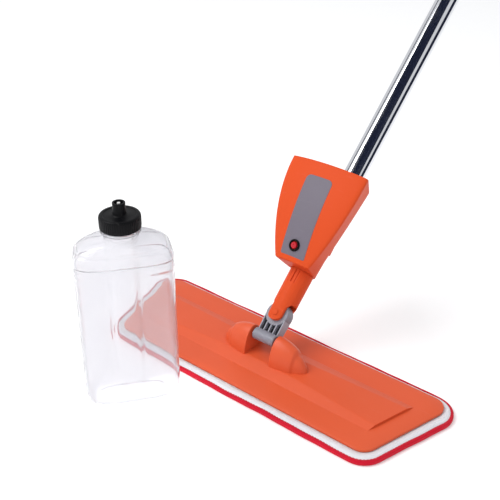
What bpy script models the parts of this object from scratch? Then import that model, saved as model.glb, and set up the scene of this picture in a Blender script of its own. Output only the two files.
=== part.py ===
"""Spray flat mop: a trapezoid floor head on a two-axis joint, a leaning pole and a loose clear bottle.

Metres, +Z up, floor at z = 0. The head's long side runs along X and the user stands on +Y.
Everything on the pole is modelled in the pole's own frame: local Z runs up the pole, local -Y is the
side of the spray nozzle, and the frame's origin is the foot of the head pin's perpendicular on the pole.
"""

import math

import bmesh
import bpy
from mathutils import Matrix, Vector

GAP = 0.0003            # air left between pieces that touch

# Head plate and pad
PLATE_LENGTH = 0.365    # half-way across the plate
PLATE_WIDTH = 0.116
PLATE_FLARE = 0.263     # half-length gained per metre towards the user's side
PLATE_CORNER = 0.016
PLATE_BOTTOM = 0.0062
PLATE_THICK = 0.0036
PLATEAU_HALF_WIDTH = 0.0295
PLATEAU_END = 0.0225    # from the plateau's end to the plate's end
PLATEAU_RISE = 0.0046
PLATEAU_END_RISE = 0.0022
PAD_MARGIN = 0.0122     # pad and binding stand out past the plate by this
PILE_HEIGHT = 0.0042
BACKING_THICK = 0.0012
BINDING_WIDTH = 0.0062
BINDING_HEIGHT = 0.0066
HOOK_LENGTH = 0.250
HOOK_WIDTH = 0.022
HOOK_THICK = 0.0011
HOOK_OFFSET = 0.038     # strip centre from the plate's middle line

# Head joint
HEAD_PIN_HEIGHT = 0.036
HEAD_PIN_RADIUS = 0.0025
HUMP_GAP = 0.033        # between the two humps' inner faces
HUMP_LENGTH = 0.040
HUMP_HALF_WIDTH = 0.0165
HUMP_RISE = 0.0340
HUMP_ROOT = 0.002       # sunk into the plate by this
HUMP_PIN_DEPTH = 0.014  # the head pin reaches this far into each hump
BARREL_RADIUS = 0.0066
BARREL_LENGTH = 0.0275
EYE_RADIUS = 0.0135
EYE_THICK = 0.0132
RIB_WEB = 0.0014        # half the thickness left between the pockets of the two sides
FORK_PIN_RADIUS = 0.0025
PIN_SPACING = 0.028     # along the pole, from the head pin to the fork pin
PIN_OFFSET = 0.0044     # the head pin lies this far in front of the pole's axis

# Fork and neck
POLE_LEAN = math.radians(47.3)
NECK_RADIUS = 0.0136
NECK_BOTTOM = 0.0480
NECK_TOP = 0.096
NECK_BORE = 0.0100
NECK_SPIGOT_RADIUS = 0.0122
NECK_TAPER = 0.0005
NECK_GROOVE_PITCH = 0.0045
NECK_GROOVE_HALF_WIDTH = 0.0010
NECK_GROOVE_DEPTH = 0.0014
NECK_GROOVE_SPAN = (0.0650, 0.0796)
TINE_HALF_WIDTH = 0.0083
SLOT_TOP = 0.0425       # roof of the slot that the eye turns in

# Housing
HOUSING_BOTTOM = 0.081
HOUSING_TOP = 0.188
HOUSING_HALF_WIDTH = 0.0495
HOUSING_FOOT_HALF_WIDTH = 0.0225
HOUSING_RAKE = 0.0225   # the foot's front line lies this far behind the top's
HOUSING_TUBE_CLEAR = 0.0005     # between the tube and the housing's back wall
HOUSING_BACK_HALF_WIDTH = 0.0240
HOUSING_FOOT_BACK_HALF_WIDTH = 0.0142
HOUSING_CROWN = 0.0065
HOUSING_WALL = 0.0022
SPLIT_FRONT = 0.013     # the cover meets the rear body this far in front of the axis
SPINE_HALF_WIDTH = 0.0130
SPINE_FRONT = 0.0080
SPINE_BOTTOM = 0.1125
SPINE_TOP = 0.181

# Panel and nozzle
PANEL_BOTTOM = 0.0862
PANEL_TOP = 0.1720
PANEL_HALF_WIDTH = 0.0166
PANEL_CORNER = 0.0055
PANEL_FOOT_CORNER = 0.0018
PANEL_PROUD = 0.0004
PANEL_DEPTH = 0.0009
NOZZLE_HEIGHT = 0.0975
NOZZLE_RING_RADIUS = 0.0066
NOZZLE_RING_BORE = 0.0043
NOZZLE_TIP_RADIUS = 0.0036
NOZZLE_TILT = math.radians(20)

# Tubes
TUBE_RADIUS = 0.0125
TUBE_WALL = 0.0012
TUBE_JOINT = 0.620      # where the lower tube ends and the upper one begins
TUBE_INSERT = 0.055     # length of the upper tube inside the grip
PLUG_TOP = 0.238        # top of the spigot in the lower tube
COUPLER_REACH = 0.050
COLLAR_WALL = 0.0022
COLLAR_LENGTH = 0.050
ROD_RADIUS = 0.0020
ROD_BORE = 0.0030

# Pump and liquid path
PUMP_BOTTOM = 0.0535
PUMP_TOP = 0.108
PUMP_BORE = 0.0060
PISTON_BOTTOM = 0.0700
PISTON_HEIGHT = 0.0110
SEAL_THICK = 0.0014
SEAL_CLEAR = 0.0001     # the seal runs this close to the pump's bore
PUMP_TRAVEL = 0.0060
INLET_HEIGHT = 0.1045
OUTLET_HEIGHT = 0.0995
PORT_SPREAD = 0.0050
PORT_RADIUS = 0.0018
HOSE_RADIUS = 0.0024
HOSE_WALL = 0.0009
SPRING_WIRE = 0.0005
SEAT_FLOOR = 0.166
SEAT_HEIGHT = 0.012
SEAT_WALL = 0.0011
SEAT_PLATE = 0.003
SEAT_CLEAR = 0.0004     # from the cap's edge in its seat to the housing's front line

# Grip and trigger
POLE_LENGTH = 1.190     # from the head joint to the top of the grip
GRIP_LENGTH = 0.160
GRIP_HALF_WIDTH = 0.0165
GRIP_HALF_DEPTH = 0.0190
GRIP_OFFSET = 0.002     # the upper grip's centre lies this far behind the pole's axis
HANG_HOLE_RADIUS = 0.0065
HANG_HOLE_DEPTH = 0.017     # hole's centre below the grip's top
TRIGGER_PIVOT_RISE = 0.018  # pivot above the grip's bottom
TRIGGER_PIVOT_FRONT = 0.0200
TRIGGER_LENGTH = 0.078
TRIGGER_WIDTH = 0.0130
TRIGGER_ARM = 0.0200
TRIGGER_SPLAY = math.radians(21)
TRIGGER_PIN_RADIUS = 0.0020
NOSE_RADIUS = 0.0026
ROD_CAP_RADIUS = 0.0045
ROD_CAP_HEIGHT = 0.006

# Screws
SCREW_HEAD_RADIUS = 0.0030
SCREW_HEAD_HEIGHT = 0.0020
SCREW_SHANK_RADIUS = 0.0014
NECK_SCREW_HEIGHT = 0.090
NECK_SCREW_FACE = 0.0141    # the head's seat, behind the pole's axis
TUBE_SCREW_HEIGHT = 0.212
GRIP_SCREW_FACE = 0.0115
GRIP_SCREW_RISES = (0.068, 0.120)   # above the grip's bottom

# Bottle
BOTTLE_PLACE = (-0.0755, -0.1256, 0.0)
BOTTLE_TURN = math.radians(52)
BOTTLE_WIDTH = 0.0967
BOTTLE_DEPTH = 0.053
BOTTLE_SHOULDER = 0.166
BOTTLE_TOP = 0.1865
BOTTLE_WALL = 0.0013
BOTTLE_FOOT = 0.020     # height of the rounded foot
BOTTLE_FOOT_INSET = 0.012
NECK_RING_RADIUS = 0.0196
BOTTLE_NECK_RADIUS = 0.0170
BOTTLE_NECK_TOP = 0.2045
NECK_RING_BOTTOM = 0.1922
NECK_RING_TOP = 0.1948
GROOVE_DEPTH = 0.0097   # groove at the back that clears the tube
CAP_RADIUS = 0.0201
CAP_BOTTOM = 0.1957
CAP_TOP = 0.2090
CAP_WALL = 0.0017
GASKET_BORE = 0.0120
SPOUT_RADIUS = 0.0064
SPOUT_TOP = 0.2212
SPOUT_BORE = 0.0042
DRAIN_RADIUS = 0.0026
PLUNGER_RADIUS = 0.0037
PLUNGER_STEM_RADIUS = 0.0015

SEGMENTS = 24

HEAD_Z = PLATE_BOTTOM + PLATE_THICK
# The seat's wall stands against the spigot in the tube, and the housing's front clears the seat.
SEAT_FRONT = TUBE_RADIUS - TUBE_WALL + SEAT_WALL + CAP_RADIUS
HOUSING_FRONT = SEAT_FRONT + CAP_RADIUS + SEAT_CLEAR
HOUSING_FOOT_FRONT = HOUSING_FRONT - HOUSING_RAKE
HOUSING_BACK = TUBE_RADIUS + HOUSING_WALL + HOUSING_TUBE_CLEAR
GRIP_TOP = POLE_LENGTH
GRIP_BOTTOM = GRIP_TOP - GRIP_LENGTH
TUBE_TOP = GRIP_BOTTOM + TUBE_INSERT
TRIGGER_PIVOT_HEIGHT = GRIP_BOTTOM + TRIGGER_PIVOT_RISE
GRIP_SCREW_HEIGHTS = [GRIP_BOTTOM + rise for rise in GRIP_SCREW_RISES]
POLE_ORIGIN = Vector((0, PIN_OFFSET * math.cos(POLE_LEAN), HEAD_PIN_HEIGHT - PIN_OFFSET * math.sin(POLE_LEAN)))


# ---------------------------------------------------------------- scene helpers

def clear_scene():
    for obj in list(bpy.data.objects):
        bpy.data.objects.remove(obj)


def new_collection(name, helper=False):
    collection = bpy.data.collections.new(name)
    bpy.context.scene.collection.children.link(collection)
    collection.hide_render = helper
    return collection


def new_frame(name, location, rotation, parent=None):
    frame = bpy.data.objects.new(name, None)
    frame.location = location
    frame.rotation_euler = rotation
    frame.parent = parent
    PARTS.objects.link(frame)
    return frame


def new_material(name, color, roughness, metallic=0.0, transmission=0.0):
    material = bpy.data.materials.new(name)
    material.use_nodes = True
    shader = material.node_tree.nodes["Principled BSDF"]
    shader.inputs["Base Color"].default_value = (*color, 1)
    shader.inputs["Roughness"].default_value = roughness
    shader.inputs["Metallic"].default_value = metallic
    shader.inputs["Transmission Weight"].default_value = transmission
    material.diffuse_color = (*color, 1)
    return material


def finish(bm, name, frame, look=None):
    """Turns a bmesh into a part with a look, or into a hidden cutter without one."""
    bmesh.ops.recalc_face_normals(bm, faces=bm.faces)
    mesh = bpy.data.meshes.new(name)
    bm.to_mesh(mesh)
    bm.free()
    mesh.shade_smooth()
    mesh.set_sharp_from_angle(angle=math.radians(35))
    return place(bpy.data.objects.new(name, mesh), frame, look)


def place(obj, frame, look=None):
    obj.parent = frame
    if look:
        PARTS.objects.link(obj)
        obj.data.materials.append(new_material(obj.name, *look))
    else:
        CUTTERS.objects.link(obj)
        obj.hide_render = True
        obj.display_type = "WIRE"
    return obj


def boolean(target, tool, operation="DIFFERENCE"):
    modifier = target.modifiers.new(f"{operation.lower()} {tool.name}", "BOOLEAN")
    modifier.operation = operation
    modifier.object = tool
    modifier.solver = "EXACT"
    return target


# ---------------------------------------------------------------- shape helpers

TURNS = {
    "X": Matrix.Rotation(math.pi / 2, 4, "Y"),
    "Y": Matrix.Rotation(-math.pi / 2, 4, "X"),
    "Z": Matrix.Identity(4),
}


def box(name, low, high, frame, look=None):
    bm = bmesh.new()
    size = [b - a for a, b in zip(low, high)]
    middle = [(a + b) / 2 for a, b in zip(low, high)]
    bmesh.ops.create_cube(bm, size=1, matrix=Matrix.LocRotScale(middle, None, size))
    return finish(bm, name, frame, look)


def rod(
    name, radius, start, end, frame, look=None, axis="Z", at=(0, 0), end_radius=None, segments=SEGMENTS,
):
    """A cylinder or cone along an axis, from start to end; at gives its other two coordinates in order."""
    bm = bmesh.new()
    centre = list(at)
    centre.insert("XYZ".index(axis), (start + end) / 2)
    bmesh.ops.create_cone(
        bm, cap_ends=True, segments=segments, radius1=radius,
        radius2=radius if end_radius is None else end_radius, depth=end - start,
        matrix=Matrix.Translation(centre) @ TURNS[axis],
    )
    return finish(bm, name, frame, look)


def turned(name, profile, frame, look=None, segments=SEGMENTS):
    """A solid of revolution about local Z from (radius, height) corners that run round the section."""
    bm = bmesh.new()
    points = [bm.verts.new((radius, 0, height)) for radius, height in profile]
    ring = zip(points, points[1:] + points[:1])
    edges = [bm.edges.new(pair) for pair in ring if pair[0].co.x or pair[1].co.x]
    bmesh.ops.spin(
        bm, geom=[*points, *edges], cent=(0, 0, 0), axis=(0, 0, 1), angle=2 * math.pi,
        steps=segments, use_merge=True,
    )
    bmesh.ops.remove_doubles(bm, verts=bm.verts, dist=1e-6)
    return finish(bm, name, frame, look)


def lofted(name, heights, section, frame, look=None, segments=32):
    """A closed solid whose cross-section at each height comes from section(angle, height)."""
    bm = bmesh.new()
    low, high = heights[0], heights[-1]
    middle = Matrix.Translation((0, 0, (low + high) / 2))
    bmesh.ops.create_cone(
        bm, cap_ends=True, segments=segments, radius1=1, radius2=1, depth=high - low, matrix=middle,
    )
    for height in heights[1:-1]:
        geometry = [*bm.verts, *bm.edges, *bm.faces]
        bmesh.ops.bisect_plane(bm, geom=geometry, plane_co=(0, 0, height), plane_no=(0, 0, 1))
    for vertex in bm.verts:
        vertex.co = section(math.atan2(vertex.co.y, vertex.co.x), vertex.co.z)
    return finish(bm, name, frame, look)


def prism(name, outline, low, high, frame, look=None):
    """A flat outline of (x, y) points, extruded from low to high along local Z."""
    bm = bmesh.new()
    face = bm.faces.new([bm.verts.new((x, y, low)) for x, y in outline])
    top = bmesh.ops.extrude_face_region(bm, geom=[face])["geom"]
    lifted = [g for g in top if isinstance(g, bmesh.types.BMVert)]
    bmesh.ops.translate(bm, vec=(0, 0, high - low), verts=lifted)
    return finish(bm, name, frame, look)


def pipe(name, points, radius, wall, frame, look=None, resolution=3):
    """A tube of the given wall along a smooth route, or a solid wire where wall is 0."""
    curve = bpy.data.curves.new(name, "CURVE")
    curve.dimensions = "3D"
    curve.bevel_depth = radius
    curve.bevel_resolution = 2
    curve.resolution_u = resolution
    curve.use_fill_caps = not wall
    spline = curve.splines.new("BEZIER")
    spline.bezier_points.add(len(points) - 1)
    for knot, point in zip(spline.bezier_points, points):
        knot.co = point
        knot.handle_left_type = knot.handle_right_type = "AUTO"
    route = bpy.data.objects.new(name + "_route", curve)
    CUTTERS.objects.link(route)
    graph = bpy.context.evaluated_depsgraph_get()
    mesh = bpy.data.meshes.new_from_object(route.evaluated_get(graph))
    bpy.data.objects.remove(route)
    bm = bmesh.new()
    bm.from_mesh(mesh)
    bmesh.ops.remove_doubles(bm, verts=bm.verts, dist=1e-6)
    tube = finish(bm, name, frame, look)
    if wall:
        hollow = tube.modifiers.new("wall", "SOLIDIFY")
        hollow.thickness = wall
        hollow.offset = -1
    return tube


def coil(name, radius, low, high, turns, frame, look=None, axis="Z", at=(0, 0)):
    """A round-wire helix about an axis, as a screwed ring with capped ends."""
    bm = bmesh.new()
    ring = bmesh.ops.create_circle(bm, cap_ends=False, segments=6, radius=SPRING_WIRE)["verts"]
    bmesh.ops.rotate(bm, verts=ring, cent=(0, 0, 0), matrix=Matrix.Rotation(math.pi / 2, 3, "X"))
    bmesh.ops.translate(bm, verts=ring, vec=(radius, 0, low + SPRING_WIRE))
    rise = high - low - 2 * SPRING_WIRE
    first = list({edge for vertex in ring for edge in vertex.link_edges})
    bmesh.ops.spin(
        bm, geom=[*ring, *first], cent=(0, 0, 0), axis=(0, 0, 1), angle=2 * math.pi * turns,
        steps=12 * turns, dvec=(0, 0, rise / (12 * turns)),
    )
    bmesh.ops.holes_fill(bm, edges=[edge for edge in bm.edges if edge.is_boundary], sides=6)
    centre = list(at)
    centre.insert("XYZ".index(axis), 0)
    bmesh.ops.transform(bm, matrix=Matrix.Translation(centre) @ TURNS[axis], verts=bm.verts)
    return finish(bm, name, frame, look)


def rounded_outline(corners, radii, steps=5):
    """The outline of a polygon whose corners are rounded by arcs, each of its own radius."""
    outline = []
    for index, (corner, radius) in enumerate(zip(corners, radii)):
        point = Vector(corner)
        before = (Vector(corners[index - 1]) - point).normalized()
        after = (Vector(corners[(index + 1) % len(corners)]) - point).normalized()
        half = before.angle(after) / 2
        centre = point + (before + after).normalized() * radius / math.sin(half)
        start = point + before * radius / math.tan(half) - centre
        turn = start.angle_signed(point + after * radius / math.tan(half) - centre)
        for step in range(steps + 1):
            offset = Matrix.Rotation(-turn * step / steps, 2) @ start
            outline.append(tuple(centre + offset))
    return outline


def power(value, exponent):
    return math.copysign(abs(value) ** exponent, value)


def bevel(obj, width, segments=2, angle=40):
    modifier = obj.modifiers.new("bevel", "BEVEL")
    modifier.width = width
    modifier.segments = segments
    modifier.limit_method = "ANGLE"
    modifier.angle_limit = math.radians(angle)
    return obj


# ---------------------------------------------------------------- looks
# Each is (colour, roughness, metallic, transmission), the last two where they aren't 0.

ORANGE = ((0.80, 0.12, 0.035), 0.42)
YOKE_GREY = ((0.30, 0.30, 0.33), 0.45)
PANEL_GREY = ((0.21, 0.19, 0.225), 0.50)
CHROME = ((0.80, 0.81, 0.83), 0.14, 1.0)
STEEL = ((0.62, 0.62, 0.63), 0.30, 1.0)
DARK = ((0.015, 0.015, 0.018), 0.40)
RED = ((0.55, 0.01, 0.03), 0.35)
WHITE_PLASTIC = ((0.75, 0.75, 0.74), 0.45)
CLEAR = ((0.93, 0.93, 0.97), 0.05, 0.0, 0.9)
TEXTILE_WHITE = ((0.84, 0.85, 0.88), 0.9)
TEXTILE_RED = ((0.66, 0.01, 0.05), 0.85)
RUBBER = ((0.03, 0.03, 0.03), 0.7)


# ---------------------------------------------------------------- head

def head_outline(margin):
    """The head's trapezoid, grown outwards by a margin."""
    half = PLATE_WIDTH / 2 + margin
    reach = PLATE_LENGTH / 2 + margin * math.hypot(1, PLATE_FLARE)
    flare = PLATE_FLARE * half
    corners = [
        (reach + flare, half), (-reach - flare, half), (-reach + flare, -half), (reach - flare, -half),
    ]
    return rounded_outline(corners, [PLATE_CORNER + margin] * 4)


def plateau():
    """The long raised bar: its top crowns towards the joint and dies into the plate along its sides."""
    bm = bmesh.new()
    bmesh.ops.create_grid(bm, x_segments=12, y_segments=8, size=1)
    for vertex in bm.verts:
        along, across = vertex.co.x, vertex.co.y
        y = across * PLATEAU_HALF_WIDTH
        x = along * (PLATE_LENGTH / 2 - PLATEAU_END + PLATE_FLARE * y)
        rise = PLATEAU_END_RISE + (PLATEAU_RISE - PLATEAU_END_RISE) * math.cos(along * math.pi / 2)
        shoulder = min(1, (1 - abs(across)) * (1.6 + 1.4 * abs(along) ** 2))
        vertex.co = (x, y, HEAD_Z + rise * (shoulder + 0.12 * (1 - across**2)))
    top = list(bm.faces)
    down = bmesh.ops.extrude_face_region(bm, geom=top, use_keep_orig=True)["geom"]
    for vertex in (g for g in down if isinstance(g, bmesh.types.BMVert)):
        vertex.co.z = HEAD_Z - PLATE_THICK / 2
    return finish(bm, "plateau", HEAD)


def hump(side):
    """One of the two domes that hold the head pin, cut flat towards the yoke."""
    bm = bmesh.new()
    bmesh.ops.create_uvsphere(bm, u_segments=28, v_segments=14, radius=1)
    bmesh.ops.scale(bm, vec=(HUMP_LENGTH, HUMP_HALF_WIDTH, HUMP_RISE), verts=bm.verts)
    geometry = [*bm.verts, *bm.edges, *bm.faces]
    cut = bmesh.ops.bisect_plane(
        bm, geom=geometry, plane_co=(0, 0, 0), plane_no=(-side, 0, 0), clear_outer=True,
    )
    bmesh.ops.edgeloop_fill(bm, edges=[g for g in cut["geom_cut"] if isinstance(g, bmesh.types.BMEdge)])
    geometry = [*bm.verts, *bm.edges, *bm.faces]
    bmesh.ops.bisect_plane(
        bm, geom=geometry, plane_co=(0, 0, -HUMP_ROOT), plane_no=(0, 0, -1), clear_outer=True,
    )
    bmesh.ops.holes_fill(bm, edges=[edge for edge in bm.edges if edge.is_boundary])
    bmesh.ops.translate(bm, vec=(side * HUMP_GAP / 2, 0, HEAD_Z), verts=bm.verts)
    return finish(bm, f"hump_{'right' if side > 0 else 'left'}", HEAD)


def build_head():
    plate = prism("mop_plate", head_outline(0), PLATE_BOTTOM, HEAD_Z, HEAD, ORANGE)
    bevel(plate, 0.0009)
    boolean(plate, plateau(), "UNION")
    for side in (-1, 1):
        boolean(plate, hump(side), "UNION")
    pin_reach = HUMP_GAP / 2 + HUMP_PIN_DEPTH
    bore = rod("head_pin_bore", HEAD_PIN_RADIUS + GAP, -pin_reach - 0.001, pin_reach + 0.001, HEAD,
               axis="X", at=(0, HEAD_PIN_HEIGHT), segments=16)
    boolean(plate, bore)
    for name, side in (("front", -1), ("rear", 1)):
        low = (-HOOK_LENGTH / 2, side * HOOK_OFFSET - HOOK_WIDTH / 2, PLATE_BOTTOM)
        high = (HOOK_LENGTH / 2, side * HOOK_OFFSET + HOOK_WIDTH / 2, PLATE_BOTTOM + HOOK_THICK)
        box(f"hook_strip_{name}", low, high, HEAD, DARK)
        recess_low = (low[0] - GAP, low[1] - GAP, low[2] - 0.002)
        boolean(plate, box(f"hook_recess_{name}", recess_low, [v + GAP for v in high], HEAD))
    rod("head_pin", HEAD_PIN_RADIUS, -pin_reach, pin_reach, HEAD, STEEL,
        axis="X", at=(0, HEAD_PIN_HEIGHT), segments=16)


def build_pad():
    inner = PAD_MARGIN - BINDING_WIDTH
    prism("pad_pile", head_outline(inner - GAP), 0, PILE_HEIGHT, HEAD, TEXTILE_WHITE)
    prism("pad_backing", head_outline(inner - GAP), PILE_HEIGHT + GAP, PILE_HEIGHT + GAP + BACKING_THICK,
          HEAD, TEXTILE_WHITE)
    binding = prism("pad_binding", head_outline(PAD_MARGIN), GAP, BINDING_HEIGHT, HEAD, TEXTILE_RED)
    bevel(binding, 0.0024, 2)
    boolean(binding, prism("binding_window", head_outline(inner), -0.01, 0.02, HEAD))


# ---------------------------------------------------------------- yoke

def build_yoke():
    """A fan-shaped link, ribbed on both sides: barrel on the head pin below, eye on the fork pin above."""
    depth = EYE_THICK / 2
    eye = rod("swivel_yoke", EYE_RADIUS, -depth, depth, POLE, YOKE_GREY, axis="Y", at=(0, PIN_SPACING))
    barrel_half = BARREL_LENGTH / 2
    foot = rod("yoke_barrel", BARREL_RADIUS, -barrel_half, barrel_half, POLE, axis="X", at=(-PIN_OFFSET, 0))
    boolean(eye, foot, "UNION")
    fan = prism("yoke_fan", [(-barrel_half + 0.001, 0), (barrel_half - 0.001, 0),
                             (EYE_RADIUS - 0.0002, PIN_SPACING), (-EYE_RADIUS + 0.0002, PIN_SPACING)],
                -depth, depth, POLE)
    fan.rotation_euler = (math.pi / 2, 0, 0)
    boolean(eye, fan, "UNION")
    pitch = (BARREL_LENGTH - 0.002) / 4
    for index in range(4):
        x = (index - 1.5) * pitch
        for face in (-1, 1):
            near, far = sorted((face * RIB_WEB, face * (depth + 0.001)))
            low = (x - pitch * 0.36, near, BARREL_RADIUS - 0.0006)
            high = (x + pitch * 0.36, far, PIN_SPACING - 0.0088)
            boolean(eye, box(f"rib_pocket_{index}_{face}", low, high, POLE))
    head_bore = rod("barrel_bore", HEAD_PIN_RADIUS + GAP, -barrel_half - 0.002, barrel_half + 0.002, POLE,
                    axis="X", at=(-PIN_OFFSET, 0), segments=16)
    boolean(eye, head_bore)
    fork_bore = rod("eye_bore", FORK_PIN_RADIUS + GAP, -depth - 0.002, depth + 0.002, POLE,
                    axis="Y", at=(0, PIN_SPACING), segments=16)
    boolean(eye, fork_bore)


# ---------------------------------------------------------------- neck and fork

def build_neck():
    shoulder = HOUSING_BOTTOM - GAP
    foot = PIN_SPACING - TINE_HALF_WIDTH
    neck = rod("neck_fork", NECK_RADIUS - NECK_TAPER, foot - 0.001, shoulder, POLE, ORANGE,
               end_radius=NECK_RADIUS, segments=32)
    corners = [(TINE_HALF_WIDTH, foot), (TINE_HALF_WIDTH, NECK_BOTTOM - 0.010),
               (NECK_RADIUS + 0.004, NECK_BOTTOM + 0.002), (NECK_RADIUS + 0.004, shoulder + 0.01)]
    corners += [(-x, z) for x, z in reversed(corners)]
    radii = [TINE_HALF_WIDTH - 0.0003, 0.003, 0.003, 0.001]
    outline = rounded_outline(corners, [*radii, *reversed(radii)])
    front_view = prism("neck_outline", outline, -0.03, 0.03, POLE)
    front_view.rotation_euler = (math.pi / 2, 0, 0)
    boolean(neck, front_view, "INTERSECT")
    boolean(neck, rod("neck_spigot", NECK_SPIGOT_RADIUS, NECK_BOTTOM + 0.01, NECK_TOP, POLE), "UNION")
    half_slot = EYE_THICK / 2 + GAP
    boolean(neck, box("eye_slot", (-0.02, -half_slot, 0.0), (0.02, half_slot, SLOT_TOP), POLE))
    boolean(neck, rod("neck_bore", NECK_BORE, PUMP_BOTTOM - GAP, NECK_TOP + 0.01, POLE))
    pin_bore = rod("fork_pin_bore", FORK_PIN_RADIUS + GAP, -NECK_RADIUS - 0.002, NECK_RADIUS + 0.002, POLE,
                   axis="Y", at=(0, PIN_SPACING), segments=16)
    boolean(neck, pin_bore)
    for index in (-1, 0, 1):
        middle = index * NECK_GROOVE_PITCH
        low = (middle - NECK_GROOVE_HALF_WIDTH, -NECK_RADIUS - 0.002, NECK_GROOVE_SPAN[0])
        high = (middle + NECK_GROOVE_HALF_WIDTH, -NECK_RADIUS + NECK_GROOVE_DEPTH, NECK_GROOVE_SPAN[1])
        boolean(neck, box(f"neck_groove_{index}", low, high, POLE))
    reach = NECK_RADIUS - 0.0010
    rod("fork_pin", FORK_PIN_RADIUS, -reach, reach, POLE, STEEL, axis="Y", at=(0, PIN_SPACING), segments=16)
    hole = rod("neck_screw_hole", SCREW_SHANK_RADIUS + GAP, NECK_BORE - 0.002, NECK_RADIUS + 0.002, POLE,
               axis="Y", at=(0, NECK_SCREW_HEIGHT), segments=12)
    boolean(neck, hole)
    screw("neck_screw", NECK_SCREW_FACE, NECK_SCREW_FACE - NECK_BORE - 0.0004, NECK_SCREW_HEIGHT)


# ---------------------------------------------------------------- housing

def housing_size(height):
    """Front half-width, front distance and back half-width of the housing at a height."""
    share = 1 - min(1, max(0, (height - HOUSING_BOTTOM) / (HOUSING_TOP - HOUSING_BOTTOM)))
    half_width = HOUSING_HALF_WIDTH - (HOUSING_HALF_WIDTH - HOUSING_FOOT_HALF_WIDTH) * share**2
    front = HOUSING_FRONT - (HOUSING_FRONT - HOUSING_FOOT_FRONT) * share**1.8
    spread = (HOUSING_BACK_HALF_WIDTH - HOUSING_FOOT_BACK_HALF_WIDTH) * max(0, 1 - share * 1.25)
    return half_width, front, HOUSING_FOOT_BACK_HALF_WIDTH + spread


def housing_section(inset):
    """The housing's cross-section, moved inwards by an inset: flat sides, crowned front, narrow back."""
    def section(angle, height):
        half_width, front, back_half_width = (size - inset for size in housing_size(height))
        back = HOUSING_BACK - inset
        turn = angle + 0.16 * math.sin(4 * angle)
        sharpness = 22 if turn < 0 else 2.6
        across, forward = math.cos(turn), -math.sin(turn)
        reach = (abs(across) ** sharpness + abs(forward) ** sharpness) ** (-1 / sharpness)
        share = (forward * reach + 1) / 2
        x = across * reach * (back_half_width + (half_width - back_half_width) * share)
        crown = HOUSING_CROWN * (half_width / HOUSING_HALF_WIDTH) * (1 - (x / half_width) ** 2) * share**4
        return Vector((x, -(back * (share - 1) + front * share + crown), height))
    return section


def housing_solid(name, inset, low, high, look=None):
    steps = 9
    heights = [low + (high - low) * step / steps for step in range(steps + 1)]
    return lofted(name, heights, housing_section(inset), POLE, look, segments=40)


def panel_outline(margin):
    """The panel's outline seen from the front, as (x, height) points: narrower towards the nozzle."""
    half_top = PANEL_HALF_WIDTH + margin
    half_foot = half_top - 0.0012
    corners = [(half_foot, PANEL_BOTTOM - margin), (half_top, PANEL_TOP + margin),
               (-half_top, PANEL_TOP + margin), (-half_foot, PANEL_BOTTOM - margin)]
    foot, top = PANEL_FOOT_CORNER + margin, PANEL_CORNER + margin
    return rounded_outline(corners, [foot, top, top, foot])


def front_prism(name, margin):
    """The panel's outline, carried along the local Y axis through the front wall."""
    block = prism(name, panel_outline(margin), 0.015, 0.075, POLE)
    block.rotation_euler = (math.pi / 2, 0, 0)
    return block


def nozzle_rod(name, radius, low, high, look=None, end_radius=None):
    """A round piece on the nozzle's axis; low and high are measured outwards from the front wall."""
    half_width, front, _ = housing_size(NOZZLE_HEIGHT)
    front += HOUSING_CROWN * half_width / HOUSING_HALF_WIDTH
    piece = rod(name, radius, low, high, POLE, look, end_radius=end_radius, segments=20)
    piece.location = (0, -front, NOZZLE_HEIGHT)
    piece.rotation_euler = (math.pi / 2 + NOZZLE_TILT, 0, 0)
    return piece


def build_housing():
    top_cut = HOUSING_TOP + 0.03
    floor = HOUSING_BOTTOM + HOUSING_WALL
    far = 0.2
    for name, low_y, high_y in (("front_cover", -far, -SPLIT_FRONT - GAP / 2),
                                ("rear_body", -SPLIT_FRONT + GAP / 2, far)):
        shell = housing_solid(name, 0, HOUSING_BOTTOM, HOUSING_TOP, ORANGE)
        boolean(shell, housing_solid(f"{name}_cavity", HOUSING_WALL, floor, top_cut))
        neck_hole = rod(f"{name}_neck_hole", NECK_SPIGOT_RADIUS + GAP, HOUSING_BOTTOM - 0.01, NECK_TOP + GAP,
                        POLE)
        boolean(shell, neck_hole)
        keep = box(f"{name}_half", (-far, low_y, 0), (far, high_y, 0.4), POLE)
        boolean(shell, keep, "INTERSECT")
    cover = bpy.data.objects["front_cover"]
    recess_floor = housing_solid("recess_floor", PANEL_DEPTH + GAP, 0.06, 0.21)
    boolean(cover, boolean(front_prism("panel_recess", GAP), recess_floor))
    panel = housing_solid("front_panel", -PANEL_PROUD, 0.07, 0.20, PANEL_GREY)
    boolean(panel, housing_solid("panel_back", PANEL_DEPTH, 0.06, 0.21))
    boolean(panel, front_prism("panel_shape", 0), "INTERSECT")
    hole = nozzle_rod("nozzle_hole", NOZZLE_RING_BORE + GAP, -0.008, 0.012)
    boolean(cover, hole)
    boolean(panel, hole)
    build_rear_body(bpy.data.objects["rear_body"])


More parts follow.
